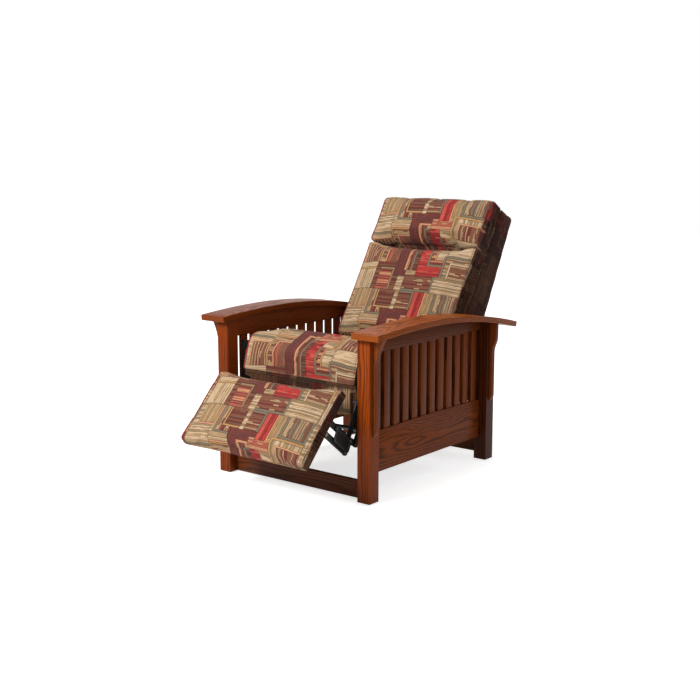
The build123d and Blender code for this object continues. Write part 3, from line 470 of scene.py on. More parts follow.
def build_pattern_group():
    """The whole repeat of the pattern: from a place in metres to its colour."""
    tree, entry, leave = group("cloth_pattern", {"Place": "Vector"}, {"Color": "Color"})
    lows, highs, kinds, pitches, uprights, widths, border_colors, carried = zip(*BLOCKS)
    place = tree.vector("SCALE", entry["Place"], IN_METRE)
    wander = tree.node("ShaderNodeTexNoise", {"Vector": place, "Scale": WANDER_SCALE,
                                              "Detail": 2.0})
    shift = tree.vector("SUBTRACT", wander.outputs["Color"], (0.5, 0.5, 0.5))
    loose = tree.split(tree.vector("ADD", place, tree.vector("SCALE", shift, WANDER)))
    x = tree.math("FLOORED_MODULO", loose[0], TILE[0])
    y = tree.math("FLOORED_MODULO", loose[1], TILE[1])
    middles = []
    number = 0.0
    for block, (low, high) in enumerate(zip(lows, highs)):
        middle = [(low[i] + high[i]) / 2 for i in (0, 1)]
        half = [(high[i] - low[i]) / 2 for i in (0, 1)]
        middles.append([value / IN_METRE for value in (*middle, *half)])
        if block:
            here = tree.math("MULTIPLY", tree.math("COMPARE", x, middle[0], half[0]),
                             tree.math("COMPARE", y, middle[1], half[1]))
            number = tree.math("MAXIMUM", number, tree.math("MULTIPLY", here, block))
    share = tree.math("DIVIDE", tree.math("ADD", number, 0.5), len(BLOCKS))

    middle, half_up = table(tree, share, middles)
    middle = tree.split(tree.vector("SCALE", middle, IN_METRE))
    half_up = tree.math("MULTIPLY", half_up, IN_METRE)
    right = tree.math("SUBTRACT", x, middle[0])
    up = tree.math("SUBTRACT", y, middle[1])
    inside = tree.math(
        "MINIMUM", tree.math("SUBTRACT", middle[2], tree.math("ABSOLUTE", right)),
        tree.math("SUBTRACT", half_up, tree.math("ABSOLUTE", up)))

    pitch, upright, border = tree.split(table(
        tree, share, [(pitch / WIDEST, upright, width / WIDEST, 1)
                      for pitch, upright, width in zip(pitches, uprights, widths)])[0])
    across = tree.node("ShaderNodeMix", {0: upright, 2: up, 3: right}).outputs[0]
    along = tree.node("ShaderNodeMix", {0: upright, 2: right, 3: up}).outputs[0]
    count = tree.math("DIVIDE", tree.math("ADD", across, BEFORE),
                      tree.math("MULTIPLY", pitch, STRIPE))
    row = tree.math("FLOOR", count)
    stagger = tree.math("MULTIPLY", tree.math(
        "SINE", tree.math("MULTIPLY", row, STAGGER_TURN)), STAGGER)
    dash = tree.math("FLOOR", tree.math("DIVIDE", tree.math("ADD", along, stagger), DASH))
    chance = tree.node("ShaderNodeTexWhiteNoise", {"Vector": tree.join(row, dash, number)},
                       noise_dimensions="3D").outputs["Value"]
    steady = tree.node("ShaderNodeTexWhiteNoise", {"Vector": tree.join(row, number, 0.0)},
                       noise_dimensions="3D").outputs["Value"]
    pick = tree.math("ADD", tree.math("MULTIPLY", chance, DASH_SHARE),
                     tree.math("MULTIPLY", steady, 1 - DASH_SHARE))
    colors = [table(tree, share, [STRIPES[kind][i] for kind in kinds])[0] for i in range(3)]
    two = tree.mix(tree.math("GREATER_THAN", pick, SECOND_FROM), colors[0], colors[1])
    stripe = tree.mix(tree.math("GREATER_THAN", pick, THIRD_FROM), two, colors[2])
    line = tree.math("LESS_THAN", tree.math("FRACT", count), tree.math(
        "MULTIPLY", tree.math("GREATER_THAN", chance, UNLINED), LINE))
    lined = tree.mix(tree.math("MULTIPLY", line, LINE_DARK), stripe, OUTLINE)

    sides = tree.split(table(
        tree, share, [((left_right + 1) / SIDE_STEPS, (low_high + 1) / SIDE_STEPS, 0, 1)
                      for left_right, low_high in carried])[0])
    gaps = []
    for value, half, side in ((right, middle[2], sides[0]), (up, half_up, sides[1])):
        way = tree.math("SUBTRACT", tree.math("MULTIPLY", side, SIDE_STEPS), 1.0)
        one_sided = tree.math("MULTIPLY", way, value)
        chosen = tree.node("ShaderNodeMix", {
            0: tree.math("ABSOLUTE", way), 2: tree.math("ABSOLUTE", value), 3: one_sided})
        free = tree.math("MULTIPLY", tree.math("GREATER_THAN", way, 1.5), FREE)
        gaps.append(tree.math("ADD", tree.math("SUBTRACT", half, chosen.outputs[0]), free))
    past_border = tree.math("SUBTRACT", tree.math("MINIMUM", gaps[0], gaps[1]),
                            tree.math("MULTIPLY", border, WIDEST))
    border_color = table(tree, share, border_colors)[0]
    framed = tree.mix(tree.math("GREATER_THAN", past_border, 0.0), border_color, lined)
    rim = tree.math("MULTIPLY", tree.math("COMPARE", past_border, 0.0, RIM),
                    tree.math("GREATER_THAN", border, 0.01))
    outer = tree.math("LESS_THAN", inside, EDGE)
    dark = tree.math("MULTIPLY", tree.math("MAXIMUM", rim, outer), RIM_DARK)
    tree.feed(leave.inputs["Color"], tree.mix(dark, framed, OUTLINE))


WARP, WEFT = 1.5, 1.3  # pitch of the threads in millimetres


def build_weave_group():
    """Warp and weft over a colour: heathered threads, painted shade where they dip, and their
    height.
    """
    tree, entry, leave = group("cloth_weave", {"Place": "Vector", "Base": "Color"},
                               {"Color": "Color", "Height": "Float"})
    place = tree.split(tree.vector("SCALE", entry["Place"], IN_METRE))
    warp = tree.math("DIVIDE", place[0], WARP)
    weft = tree.math("DIVIDE", place[1], WEFT)
    over = tree.math("SINE", tree.math("MULTIPLY", warp, 2 * pi))
    under = tree.math("SINE", tree.math("MULTIPLY", weft, 2 * pi))
    cross = tree.math("MULTIPLY", over, under)
    height = tree.math("ADD", tree.math("MULTIPLY", cross, 0.5), 0.5)
    slub_place = tree.join(tree.math("MULTIPLY", place[0], 0.16),
                           tree.math("MULTIPLY", place[1], 0.9), 0.0)
    slub = tree.noise(slub_place, 1.0, 3.0, 0.7)
    fleck = tree.noise(tree.join(place[0], place[1], 0.0), 0.55, 2.0, 0.7)
    # dark gives both the heather, a real tone of the yarn, and the painted shade where threads dip
    dark = tree.mix(1.0, entry["Base"], (0.42, 0.38, 0.36, 1), "MULTIPLY")
    light = tree.mix(0.35, entry["Base"], (0.9, 0.8, 0.62, 1))
    heather = tree.mix(tree.math("MULTIPLY", tree.ramp(slub, 0.42, 0.75), 0.6),
                       entry["Base"], dark)
    flecked = tree.mix(tree.math("MULTIPLY", tree.ramp(fleck, 0.56, 0.78), 0.7),
                       heather, light)
    # painted shade: the threads darkened where they dip under the crossing threads
    painted_shade_cloth = tree.mix(tree.math("MULTIPLY", tree.math("SUBTRACT", 1.0, height), 0.28),
                      flecked, dark)
    tree.feed(leave.inputs["Color"], painted_shade_cloth)
    tree.feed(leave.inputs["Height"],
              tree.math("ADD", height, tree.math("MULTIPLY", slub, 0.8)))


SEAM_INSET = 0.009         # from the ends of a cushion to its seams
PAINTED_SHADE_SEAM = 0.0015         # the same for the turn to painted shade on the side that carries it
STITCH_LINE = 0.0011       # half the width of the dark line along a seam
BOXING_RED = srgb(146, 28, 32)
BOXING_SHARE = 0.8         # how red the red boxing is
# Painted shade: the tint that darkens the cloth where it stands in shade
PAINTED_SHADE_TINT = (0.20, 0.115, 0.09, 1)
APRON_SHADE_X = (0.08, 0.16)  # x between which the apron's turn to painted shade rises
APRON_SHADE_RISE = 0.034
APRON_SHADE_BLUR = 0.014         # height over which it turns to painted shade


def upholstery(name, shift, face_painted_shade=0.0, wrap=None, painted_shade_from=None):
    """Patchwork cloth on a cushion's face; its boxing is red on the right, painted shade on the
    left.

    face_painted_shade is how much painted shade darkens the face. On the side with painted shade
    the face's own cloth reaches round the corner, free of that shade, to the depth of wrap. Given
    painted_shade_from, the cloth is plain below that height and carries painted shade above it,
    with the turn raised towards the left end."""
    made, tree, shader = material(name, {
        "Roughness": 0.9, "Sheen Weight": 0.05, "Sheen Roughness": 0.5,
        "Specular IOR Level": 0.08})
    face, side = (
        tree.vector("ADD", tree.node("ShaderNodeUVMap", uv_map=uv_map).outputs[0], (*shift, 0))
        for uv_map in ("face", "side"))
    seam = tree.node("ShaderNodeAttribute", attribute_name="seam").outputs["Fac"]
    x, _, z = tree.split(tree.place())
    # Painted shade: the cloth on the sitter's left, where x is above nought, is darkened for the
    # shade it stands in
    painted_shade_side = tree.math("GREATER_THAN", x, 0.0)
    turn = tree.math("SUBTRACT", SEAM_INSET,
                     tree.math("MULTIPLY", painted_shade_side, SEAM_INSET - PAINTED_SHADE_SEAM))
    on_face = tree.math("GREATER_THAN", seam, turn)
    place = tree.mix(on_face, side, face)
    pattern = placed(tree, "cloth_pattern", {"Place": place})["Color"]
    # the pattern darkened as painted shade
    painted_shade_cloth = tree.mix(1.0, pattern, PAINTED_SHADE_TINT, "MULTIPLY")
    if painted_shade_from is None:
        # boxing: red on the right, painted shade on the left
        red = tree.mix(BOXING_SHARE, pattern, BOXING_RED)
        boxing = tree.mix(painted_shade_side, red, painted_shade_cloth)
        # the face, and on the side with painted shade the boxing round the corner to the depth of
        # wrap, stay free of painted shade
        light = on_face
        if wrap is not None:
            round_corner = tree.math("GREATER_THAN", tree.split(side)[1], wrap + shift[1])
            light = tree.math("MAXIMUM", on_face, tree.math("MULTIPLY", painted_shade_side, round_corner))
        cloth = tree.mix(light, boxing, tree.mix(face_painted_shade, pattern, painted_shade_cloth))
    else:
        # Painted shade on the apron above the given height, under the seat cushion's front; the
        # turn rises towards the left end
        drop = tree.math("MULTIPLY", tree.ramp(x, *APRON_SHADE_X), -APRON_SHADE_RISE)
        cloth = tree.mix(tree.ramp(tree.math("ADD", z, drop), painted_shade_from, painted_shade_from + APRON_SHADE_BLUR),
                         pattern, painted_shade_cloth)
    weave = placed(tree, "cloth_weave", {"Place": place, "Base": cloth})
    stitch = tree.math("COMPARE", seam, SEAM_INSET, STITCH_LINE)
    color = tree.mix(tree.math("MULTIPLY", stitch, 0.5), weave["Color"], srgb(40, 14, 14))
    tree.feed(shader.inputs["Base Color"], color)
    bump(tree, shader, weave["Height"], 0.5, 0.0006)
    return made


# Soft pieces

# Where each soft piece stands, as (y, z), and how far it slopes or leans
SEAT_FRONT = (-0.3664, 0.418)
SEAT_SLOPE = radians(11.6)
CREASE = (0.1766, 0.470)
BACK_LEAN = radians(31.8)
FOOTREST_EDGE = (-0.4674, 0.416)
FOOTREST_TILT = radians(43.0)


def local_frame(origin, rise):
    """Local x, up the face and out of the face; rise is (y, z) of the second."""
    y, z = rise
    return Matrix(((1, 0, 0, 0), (0, y, -z, origin[0]), (0, z, y, origin[1]), (0, 0, 0, 1)))


SEAT = local_frame(SEAT_FRONT, (cos(SEAT_SLOPE), -sin(SEAT_SLOPE)))
BACK = local_frame(CREASE, (sin(BACK_LEAN), cos(BACK_LEAN)))
FOOTREST = local_frame(FOOTREST_EDGE, (sin(FOOTREST_TILT), cos(FOOTREST_TILT)))
APRON = Matrix(((0, 1, 0, 0), (-1, 0, 0, -0.3564), (0, 0, 1, 0), (0, 0, 0, 1)))


def rounded_outline(corners, steps=8):
    """Closed outline through (u, w, radius) corners, each rounded."""
    points = []
    for i, (u, w, radius) in enumerate(corners):
        here = Vector((u, w))
        before = Vector(corners[i - 1][:2]) - here
        after = Vector(corners[(i + 1) % len(corners)][:2]) - here
        start = here + before.normalized() * radius
        end = here + after.normalized() * radius
        for step in range(steps + 1):
            share = step / steps
            points.append((1 - share) ** 2 * start + 2 * share * (1 - share) * here
                          + share**2 * end)
    return points


def outline_places(outline, points):
    """Distance of each (u, w) point from the outline, and the run along it to the nearest place."""
    best = np.full(len(points), 1e9)
    runs = np.zeros(len(points))
    run = 0.0
    for i, corner in enumerate(outline):
        start = np.array(corner)
        step = np.array(outline[(i + 1) % len(outline)]) - start
        length = float(np.hypot(*step))
        if length > 1e-9:
            share = np.clip((points - start) @ step / length**2, 0.0, 1.0)
            distance = np.hypot(*(points - start - share[:, None] * step).T)
            closer = distance < best
            best[closer] = distance[closer]
            runs[closer] = run + share[closer] * length
            run += length
    return best, runs


BLOW_FRAMES = 20
CLOTH_SETTINGS = {
    "quality": 4, "mass": 0.3, "tension_stiffness": 12, "compression_stiffness": 12,
    "shear_stiffness": 5, "bending_stiffness": 0.6, "use_pressure": True}


def swollen(mesh, pressure, voxel):
    """The mesh remeshed and blown up as cloth, as (rest points, mesh, whether it is blown up)."""
    made = in_scene("swelling", mesh)
    remesh = made.modifiers.new("even", "REMESH")
    remesh.mode = "VOXEL"
    remesh.voxel_size = voxel
    even = evaluated_mesh(made)
    made.modifiers.clear()
    made.data = even
    rest = [v.co.copy() for v in even.vertices]
    if not pressure:
        bpy.data.objects.remove(made)
        return rest, even, False
    cloth = made.modifiers.new("cloth", "CLOTH")
    for key, value in CLOTH_SETTINGS.items():
        setattr(cloth.settings, key, value)
    cloth.settings.uniform_pressure_force = pressure
    cloth.settings.effector_weights.gravity = 0
    cloth.collision_settings.use_collision = False
    cloth.point_cache.frame_start = 1
    cloth.point_cache.frame_end = BLOW_FRAMES
    scene = bpy.context.scene
    for step in range(1, BLOW_FRAMES + 1):
        scene.frame_set(step)
    blown = evaluated_mesh(made)
    scene.frame_set(1)
    bpy.data.objects.remove(made)
    return rest, blown, True


# How a cushion's cloth moves when it is stuffed
PLAIN_BULGE = 0.8     # share of the cap that it moves when it isn't blown up
SEAM_GIVE = 0.08      # share of the movement left at the seam
SEAM_REACH = 0.07     # depth from the seam over which the face comes free
LEVEL_REACH = 0.03    # height over which it comes free of what it rests on
EDGE_REACH = 0.018    # and in front of a free edge
GROOVE, GROOVE_WIDTH = 0.0016, 0.0035  # groove along the seam
MIDDLE = 0.4          # share of the half width that isn't drawn in


def cushion(name, matrix, half_width, corners, finish, body, node, cap, fill, flat=-1,
            boxing_hold=0.013, draw_in=0.003, voxel=0.006, pressure=4.0,
            flare=(1.0, 1.0), lift=0.0, free_edge=None, rest_w=None):
    """Boxed cushion: an outline in (u, w) between two boxing panels, stuffed as cloth.

    No point moves further than the cap. The end of w on its flat side, -1 or 1, or the level
    of rest_w, rests on something and stays as it is, but for what lies in front of the free
    edge. Flare widens its low and high ends, and lift crowns its high end."""
    outline = rounded_outline(corners)
    low_u, high_u = min(p.x for p in outline), max(p.x for p in outline)
    low_w, high_w = min(p.y for p in outline), max(p.y for p in outline)
    bm = bmesh.new()
    rings = [[bm.verts.new((side * half_width, p.x, p.y)) for p in outline] for side in (-1, 1)]
    bridge(bm, *rings)
    bm.faces.new(rings[0][::-1])
    bm.faces.new(rings[1])
    bmesh.ops.recalc_face_normals(bm, faces=bm.faces)
    rest, mesh, blown = swollen(mesh_of(bm, name), pressure, voxel)
    depths, runs = outline_places(outline, np.array([(p.y, p.z) for p in rest]))
    seams = []
    for point, vertex, normal, depth in zip(rest, mesh.vertices, mesh.vertex_normals, depths):
        seam = (half_width - abs(point.x)) - depth
        moved = vertex.co - point if blown else normal.vector * (PLAIN_BULGE * cap)
        if moved.length > cap:
            moved *= cap / moved.length
        reach = SEAM_REACH if seam > 0 else boxing_hold
        hold = SEAM_GIVE + (1 - SEAM_GIVE) * (1 - exp(-(seam / reach) ** 2))
        if flat:
            level = rest_w if rest_w is not None else (low_w if flat < 0 else high_w)
            clear = -flat * (point.z - level)
            loose = min(1.0, max(0.0, clear) / LEVEL_REACH)
            if free_edge is not None:
                loose = max(loose, min(1.0, max(0.0, free_edge - point.y) / EDGE_REACH))
            hold *= loose
        vertex.co = point + moved * hold
        side = 1 if point.x > 0 else -1
        vertex.co -= normal.vector * GROOVE * exp(-((seam - SEAM_INSET) / GROOVE_WIDTH) ** 2)
        share = (point.y - low_u) / (high_u - low_u)
        span = 2 * share - 1
        edge = max(0.0, abs(point.x) / half_width - MIDDLE) / (1 - MIDDLE)
        vertex.co.x -= side * draw_in * (1 - span * span) * edge
        vertex.co.x *= flare[0] + (flare[1] - flare[0]) * share
        vertex.co.y += lift * max(0.0, span) ** 2 * (1 - (point.x / half_width) ** 2)
        seams.append(seam)
    return finish_soft(name, mesh, matrix, runs, seams, rest, finish, body, node)


def finish_soft(name, mesh, matrix, runs, seams, rest, finish, body, node):
    """Write a soft piece's maps, subdivide it once and place it."""
    face = mesh.uv_layers.new(name="face")
    side = mesh.uv_layers.new(name="side")
    for loop in mesh.loops:
        i = loop.vertex_index
        face.data[loop.index].uv = (rest[i].x, runs[i])
        side.data[loop.index].uv = (rest[i].y, rest[i].z)
    seam = mesh.attributes.new("seam", "FLOAT", "POINT")
    seam.data.foreach_set("value", seams)
    mesh.transform(matrix)
    holder = in_scene("holder", mesh)
    smooth = holder.modifiers.new("smooth", "SUBSURF")
    smooth.levels = smooth.render_levels = 1
    done = evaluated_mesh(holder)
    bpy.data.objects.remove(holder)
    done.name = name
    done.shade_smooth()
    made = add_piece(name, done, finish, body, node)
    return made


STITCH = {"Spacing": 0.006, "Length": 0.0042, "Thickness": 0.0013}


def build_stitch_rows():
    """Geometry nodes: a row of stitches along a path, laid on the nearest cloth."""
    made = bpy.data.node_groups.new("stitch_row", "GeometryNodeTree")
    sockets = {}
    for name, kind in (("Path", "Geometry"), ("Cloth", "Object"), ("Spacing", "Float"),
                       ("Length", "Float"), ("Thickness", "Float"), ("Thread", "Material")):
        socket = made.interface.new_socket(name, in_out="INPUT", socket_type=f"NodeSocket{kind}")
        sockets[name] = socket.identifier
    made.interface.new_socket("Stitches", in_out="OUTPUT", socket_type="NodeSocketGeometry")
    tree = Tree(made)
    entry = tree.node("NodeGroupInput").outputs
    curve = tree.node("GeometryNodeMeshToCurve", {"Mesh": entry["Path"]}).outputs[0]
    row = tree.node("GeometryNodeCurveToPoints", {"Curve": curve, "Length": entry["Spacing"]},
                    mode="LENGTH")
    cloth = tree.node("GeometryNodeObjectInfo", {"Object": entry["Cloth"]})
    near = tree.node("GeometryNodeProximity", {0: cloth.outputs["Geometry"]},
                     target_element="FACES")
    laid = tree.node("GeometryNodeSetPosition", {"Geometry": row.outputs["Points"],
                                                 "Position": near.outputs["Position"]})
    ball = tree.node("GeometryNodeMeshUVSphere", {"Segments": 6, "Rings": 5, "Radius": 0.5})
    size = tree.join(entry["Thickness"], entry["Thickness"], entry["Length"])
    shaped = tree.node("GeometryNodeTransform", {"Geometry": ball.outputs[0], "Scale": size})
    turn = tree.node("FunctionNodeAlignRotationToVector", {"Vector": row.outputs["Tangent"]},
                     axis="Z")
    sewn = tree.node("GeometryNodeInstanceOnPoints", {
        "Points": laid.outputs[0], "Instance": shaped.outputs[0], "Rotation": turn.outputs[0]})
    real = tree.node("GeometryNodeRealizeInstances", {0: sewn.outputs[0]})
    final = tree.node("GeometryNodeSetMaterial", {"Geometry": real.outputs[0],
                                                  "Material": entry["Thread"]})
    tree.node("NodeGroupOutput", {0: final.outputs[0]})
    return made, sockets


def sew(cushion_piece, matrix, half_width, corners, thread, rows, flare):
    """Stitch both seams of a cushion, just inside its boxing."""
    group_of_rows, sockets = rows
    outline = rounded_outline(corners)
    low, high = min(p.x for p in outline), max(p.x for p in outline)
    bm = bmesh.new()
    for side in (-1, 1):
        ring = []
        for p in outline:
            share = (p.x - low) / (high - low)
            x = side * (half_width - SEAM_INSET) * (flare[0] + (flare[1] - flare[0]) * share)
            ring.append(bm.verts.new(matrix @ Vector((x, p.x, p.y))))
        for i in range(len(ring)):
            bm.edges.new((ring[i], ring[(i + 1) % len(ring)]))
    name = cushion_piece.name.replace("_soft", "_stitches")
    holder = in_scene("path", mesh_of(bm, name))
    row = holder.modifiers.new("stitches", "NODES")
    row.node_group = group_of_rows
    for key, value in {"Cloth": cushion_piece, "Thread": thread, **STITCH}.items():
        row[sockets[key]] = value
    mesh = evaluated_mesh(holder)
    bpy.data.objects.remove(holder)
    mesh.name = name
    mesh.shade_smooth()
    stitches = add_piece(name, mesh, thread, body_of(cushion_piece)[0])


def dress_cushions():
    """The four stuffed cushions, the padded shell behind the back and the seat's apron."""
    rows = build_stitch_rows()
    # Twisted dark red polyester
    thread, *_ = two_toned("seam_thread", "ribs", {"Scale": 900.0, "Distortion": 1.0},
                           srgb(62, 24, 22), srgb(104, 46, 38), {"Roughness": 0.6})
    # Each cloth carries painted shade on its boxing on the sitter's left
    seat_cloth = upholstery("seat_cloth", (0.27, 0.10))
    back_cloth = upholstery("back_cloth", (0.27, 0.13), wrap=-0.025)
    foot_cloth = upholstery("footrest_cloth", (0.27, 0.21), wrap=0.001)
    # Name, place, half width, corners, cloth, body, cap, flare and what else sets it apart.
    # The seams run along the first four corners: the rest of the seat cushion's are its lip.
    for name, matrix, half_width, corners, finish, body, cap, flare, more in (
            ("seat", SEAT, 0.270,
             ((-0.012, -0.010, 0.008), (0.0, 0.142, 0.062), (0.512, 0.130, 0.03),
              (0.515, 0.006, 0.02), (0.002, 0.004, 0.002), (-0.001, -0.010, 0.003)),
             seat_cloth, "seat", 0.026, (1.0, 1.0), {"free_edge": -0.001, "rest_w": 0.006}),
            ("back", BACK, 0.262,
             ((0.012, -0.085, 0.02), (0.012, -0.002, 0.035), (0.449, -0.002, 0.018),
              (0.449, -0.085, 0.01)),
             back_cloth, "back", 0.024, (1.045, 1.03), {}),
            ("head", BACK, 0.262,
             ((0.453, -0.085, 0.01), (0.453, 0.002, 0.018), (0.668, 0.002, 0.036),
              (0.668, -0.085, 0.01)),
             back_cloth, "back", 0.024, (1.03, 1.03), {"lift": 0.020}),
            ("footrest", FOOTREST, 0.292,
             ((-0.315, -0.0336, 0.010), (-0.315, 0.018, 0.020), (-0.001, 0.008, 0.020),
              (-0.001, -0.0336, 0.010)),
             foot_cloth, "footrest", 0.022, (1.0, 1.0),
             {"draw_in": 0.001, "voxel": 0.005, "boxing_hold": 0.010, "lift": 0.004})):
        made = cushion(f"{name}_cushion_soft", matrix, half_width, corners, finish, body,
                       f"{name}_cushion", cap, 0.8, flare=flare, **more)
        sew(made, matrix, half_width, corners[:4], thread, rows, flare)
    # painted shade over the shell's face as well as its boxing on the sitter's left
    shell_cloth = upholstery("shell_cloth", (0.27, 0.0), face_painted_shade=0.45)
    cushion("back_shell_soft", BACK, 0.269,
            ((-0.056, -0.0856, 0.004), (0.666, -0.0856, 0.004), (0.675, -0.184, 0.012),
             (0.185, -0.222, 0.08), (-0.056, -0.222, 0.03)),
            shell_cloth, "back", "back_shell", 0.005, 0.8, flat=1, draw_in=0.0, voxel=0.007,
            pressure=0.0)
    # painted shade over the apron's top, under the seat cushion's front
    apron_cloth = upholstery("apron_cloth", (0.27, 0.02), painted_shade_from=0.352)
    cushion("seat_apron_soft", APRON, 0.0095,
            ((-0.243, 0.296, 0.026), (0.243, 0.296, 0.026), (0.243, 0.384, 0.004),
             (0.270, 0.384, 0.008), (0.270, 0.414, 0.004), (-0.270, 0.414, 0.004),
             (-0.270, 0.384, 0.008), (-0.243, 0.384, 0.004)),
            apron_cloth, "seat", "seat_apron", 0.003, 0.8, flat=0, draw_in=0.0, voxel=0.004,
            pressure=0.0)


# Dark sheets inside the slats stand for the shade in the gaps between them: painted shade
SHADE_SHEET_X = 0.3138         # the inner faces of the slats
SHADE_SHEET_THICKNESS = 0.0005
SHADE_SHEET_SLACK = 0.0006


def dress_shade_sheets(finish):
    """Sheet of black dust cloth drawn tight inside each side's slats, standing on the bottom rail,
    as painted shade in the gaps between the slats.
    """
    low, front, rear = 0.2512, -0.334, 0.3525
    for side, hand, high, fall in ((-1, "right", 0.512, 0.09), (1, "left", 0.529, 0.0)):
        bm = bmesh.new()
        bmesh.ops.create_grid(bm, x_segments=60, y_segments=20, size=0.5)
        for vertex in bm.verts:
            along, up = vertex.co.x + 0.5, vertex.co.y + 0.5
            slack = SHADE_SHEET_SLACK * sin(along * 70) * sin(up * pi)
            vertex.co = (side * (SHADE_SHEET_X - abs(slack)), front + along * (rear - front),
                         low + up * (high - fall * along - low))
        bmesh.ops.solidify(bm, geom=bm.faces, thickness=SHADE_SHEET_THICKNESS)
        bmesh.ops.recalc_face_normals(bm, faces=bm.faces)
        name = f"side_lining_{hand}"
        made = add_piece(name, mesh_of(bm, name), finish, "frame")


# Steel and the plain finishes

GUARD_CORNERS = ((-0.3904, 0.2165), (-0.4651, 0.2763), (-0.4853, 0.2350), (-0.4106, 0.1752))
GUARD_MARGIN, GUARD_RADIUS = 0.006, 0.016  # of the plate around those corners
# Rings of the plate from its inner face outwards, with a rolled rib: x and inset
GUARD_RINGS = ((0.2655, 0.0), (0.2672, 0.0), (0.2672, 0.004), (0.2684, 0.006),
               (0.2684, 0.009), (0.2672, 0.011))


def dress_guards(finish):
    """Steel guard plate outside each pair of upper links, with a rolled rib and two bosses."""
    middle = sum((Vector(p) for p in GUARD_CORNERS), Vector((0, 0))) / 4
    corners = []
    for y, z in GUARD_CORNERS:
        away = (Vector((y, z)) - middle).normalized() * GUARD_MARGIN
        corners.append((y + away.x, z + away.y, GUARD_RADIUS))
    outline = rounded_outline(corners)
    for side, hand in ((-1, "right"), (1, "left")):
        bm = bmesh.new()
        rings = []
        for x, inset in GUARD_RINGS:
            places = [p - (p - middle).normalized() * inset for p in outline]
            rings.append([bm.verts.new((side * x, p.x, p.y)) for p in places])
        bm.faces.new(rings[0])
        for first, second in zip(rings, rings[1:]):
            bridge(bm, first, second)
        bm.faces.new(rings[-1])
        for y, z in GUARD_CORNERS[:2]:
            # the spacer behind the plate and the head of its rivet
            for x, way, low, high, depth in ((0.2625, 1, 0.007, 0.007, 0.0065),
                                             (0.2692, side, 0.0075, 0.004, 0.0035)):
                place = Matrix.Translation((side * x, y, z))
                bmesh.ops.create_cone(bm, cap_ends=True, segments=24, radius1=low, radius2=high,
                                      depth=depth,
                                      matrix=place @ Matrix.Rotation(way * pi / 2, 4, "Y"))
        bmesh.ops.recalc_face_normals(bm, faces=bm.faces)
        mesh = mesh_of(bm, f"link_guard_{hand}")
        mesh.shade_smooth()
        mesh.set_sharp_from_angle(angle=radians(30))
        made = add_piece(f"link_guard_{hand}", mesh, finish, "long_link")


def dress_plain():
    """Finishes of the steel, the inner wood, the webbing, the glides and the dust cloth."""
    black, tree, shader, fleck = two_toned(
        "black_enamel", "fleck", {"Scale": 400.0, "Detail": 2.0},
        srgb(18, 18, 19), srgb(30, 29, 29))
    tree.feed(shader.inputs["Roughness"],
              tree.math("ADD", 0.32, tree.math("MULTIPLY", fleck, 0.2)))
    bump(tree, shader, fleck, 0.15, 0.0004)
    zinc, tree, shader, fleck = two_toned(
        "zinc_plate", "fleck", {"Scale": 250.0, "Detail": 3.0},
        srgb(110, 108, 102), srgb(165, 162, 150), {"Metallic": 1.0})
    tree.feed(shader.inputs["Roughness"],
              tree.math("ADD", 0.3, tree.math("MULTIPLY", fleck, 0.25)))
    pine, tree, shader = material("plain_wood", {"Roughness": 0.6})
    xyz = tree.split(tree.place())
    grain = placed(tree, "oak_grain", {
        "Along": xyz[0], "Across": tree.math("SUBTRACT", xyz[1], 0.9), "Depth": xyz[2],
        "Ring": 0.006, "Figure": 1.0,
        "Light": srgb(196, 160, 112), "Dark": srgb(160, 118, 76), "Pore": srgb(120, 84, 52)})
    tree.feed(shader.inputs["Base Color"], grain["Color"])
    web, tree, shader, ribs = two_toned(
        "webbing", "ribs", {"Scale": 180.0, "Distortion": 0.5},
        srgb(34, 32, 30), srgb(64, 60, 56), {"Roughness": 0.85})
    bump(tree, shader, ribs, 0.4, 0.0005)
    plastic, *_ = two_toned(
        "glide_plastic", "fleck", {"Scale": 90.0, "Detail": 2.0},
        srgb(44, 34, 28), srgb(58, 46, 38), {"Roughness": 0.5})
    dust_cloth, tree, shader, fleck = two_toned(
        "dust_cloth", "fleck", {"Scale": 900.0, "Detail": 2.0},
        srgb(20, 18, 18), srgb(46, 43, 42), {"Roughness": 0.95})
    bump(tree, shader, fleck, 0.4, 0.0004)

    finishes = {"black_steel": black, "zinc_steel": zinc, "inner_wood": pine, "webbing": web,
                "glide_plastic": plastic}
    for part in frame["record"]["subparts"]:
        finish = finishes.get(part["material_slot"])
        if part["node"] == "footrest_board":
            finish = dust_cloth
        if finish:
            mesh = frame["nodes"][part["node"]].data
            mesh.materials.clear()
            mesh.materials.append(finish)
    # dark sheets inside the slats, as painted shade
    dress_shade_sheets(dust_cloth)
    dress_guards(black)


# Studio

CAMERA_PLACE = (2.7694, -3.5587, 1.2514)
CAMERA_TURN = (radians(80.05), 0.0, radians(38.36))
CAMERA_LENS = 60.19
LAMPS = (
    ("key", (-1.1, -3.5, 2.7), (0, 0, 0.5), 1.2, 196.0, (1.0, 0.96, 0.91)),
    ("fill", (3.6, -1.6, 1.6), (0, 0, 0.5), 1.6, 18.0, (1.0, 0.98, 0.96)),
    ("top", (0.4, 0.4, 3.6), (0, 0.1, 0.5), 1.6, 44.0, (1.0, 1.0, 1.0)),
)
AMBIENT = 0.22  # strength of the white world where it lights the chair and isn't seen
FLOOR_GLOW = {"From Min": 0.7, "From Max": 2.4, "To Min": 0.7, "To Max": 1.0}  # by distance


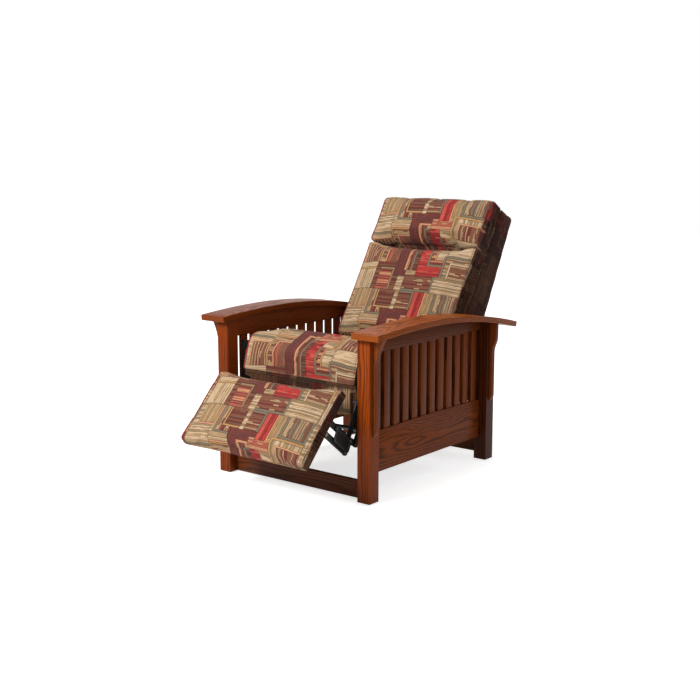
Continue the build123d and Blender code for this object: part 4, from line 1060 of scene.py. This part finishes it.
def area_lamp(name, place, target, size, power, color):
    """Soft square lamp aimed at a point."""
    lamp = bpy.data.lights.new(name, "AREA")
    lamp.size = size
    lamp.energy = power
    lamp.color = color
    made = in_scene(name, lamp)
    made.location = place
    made.rotation_euler = (Vector(target) - Vector(place)).to_track_quat("-Z", "Y").to_euler()


def background_rays(tree):
    """Rays that see the pale background: from the camera, off gloss and through glass."""
    path = tree.node("ShaderNodeLightPath").outputs
    return tree.math("MAXIMUM", path["Is Camera Ray"], tree.math(
        "MAXIMUM", path["Is Glossy Ray"], path["Is Transmission Ray"]))


def build_studio():
    """White floor, soft lamps and the camera at the photograph's angle."""
    scene = bpy.context.scene
    world = bpy.data.worlds.new("studio")
    world.use_nodes = True
    scene.world = world
    tree = Tree(world.node_tree)
    background = world.node_tree.nodes["Background"]
    seen = background_rays(tree)
    tree.feed(background.inputs["Strength"], tree.math(
        "ADD", tree.math("MULTIPLY", seen, 1 - AMBIENT), AMBIENT))
    background.inputs["Color"].default_value = (1, 1, 1, 1)

    bm = bmesh.new()
    bmesh.ops.create_grid(bm, x_segments=1, y_segments=1, size=12.0)
    floor_mesh = mesh_of(bm, "floor")
    floor = in_scene("floor", floor_mesh)
    finish, tree, shader = material("floor_white", {
        "Base Color": (0.86, 0.86, 0.86, 1), "Roughness": 0.9, "Specular IOR Level": 0.1,
        "Emission Color": (1, 1, 1, 1)})
    distance = tree.vector("LENGTH", tree.place())
    glow = tree.node("ShaderNodeMapRange", {"Value": distance, **FLOOR_GLOW},
                     clamp=True).outputs[0]
    tree.feed(shader.inputs["Emission Strength"],
              tree.math("MULTIPLY", background_rays(tree), glow))
    floor_mesh.materials.append(finish)

    for lamp in LAMPS:
        area_lamp(*lamp)

    lens = bpy.data.cameras.new("camera")
    lens.lens = CAMERA_LENS
    lens.sensor_width = 36.0
    camera = in_scene("camera", lens)
    camera.location = CAMERA_PLACE
    camera.rotation_euler = CAMERA_TURN
    scene.camera = camera
    scene.view_settings.view_transform = "Standard"


build_two_tone_group("fleck", "ShaderNodeTexNoise", "Detail")
build_two_tone_group("ribs", "ShaderNodeTexWave", "Distortion")
build_oak_group()
build_pattern_group()
build_weave_group()
dress_oak()
dress_cushions()
dress_plain()
build_studio()
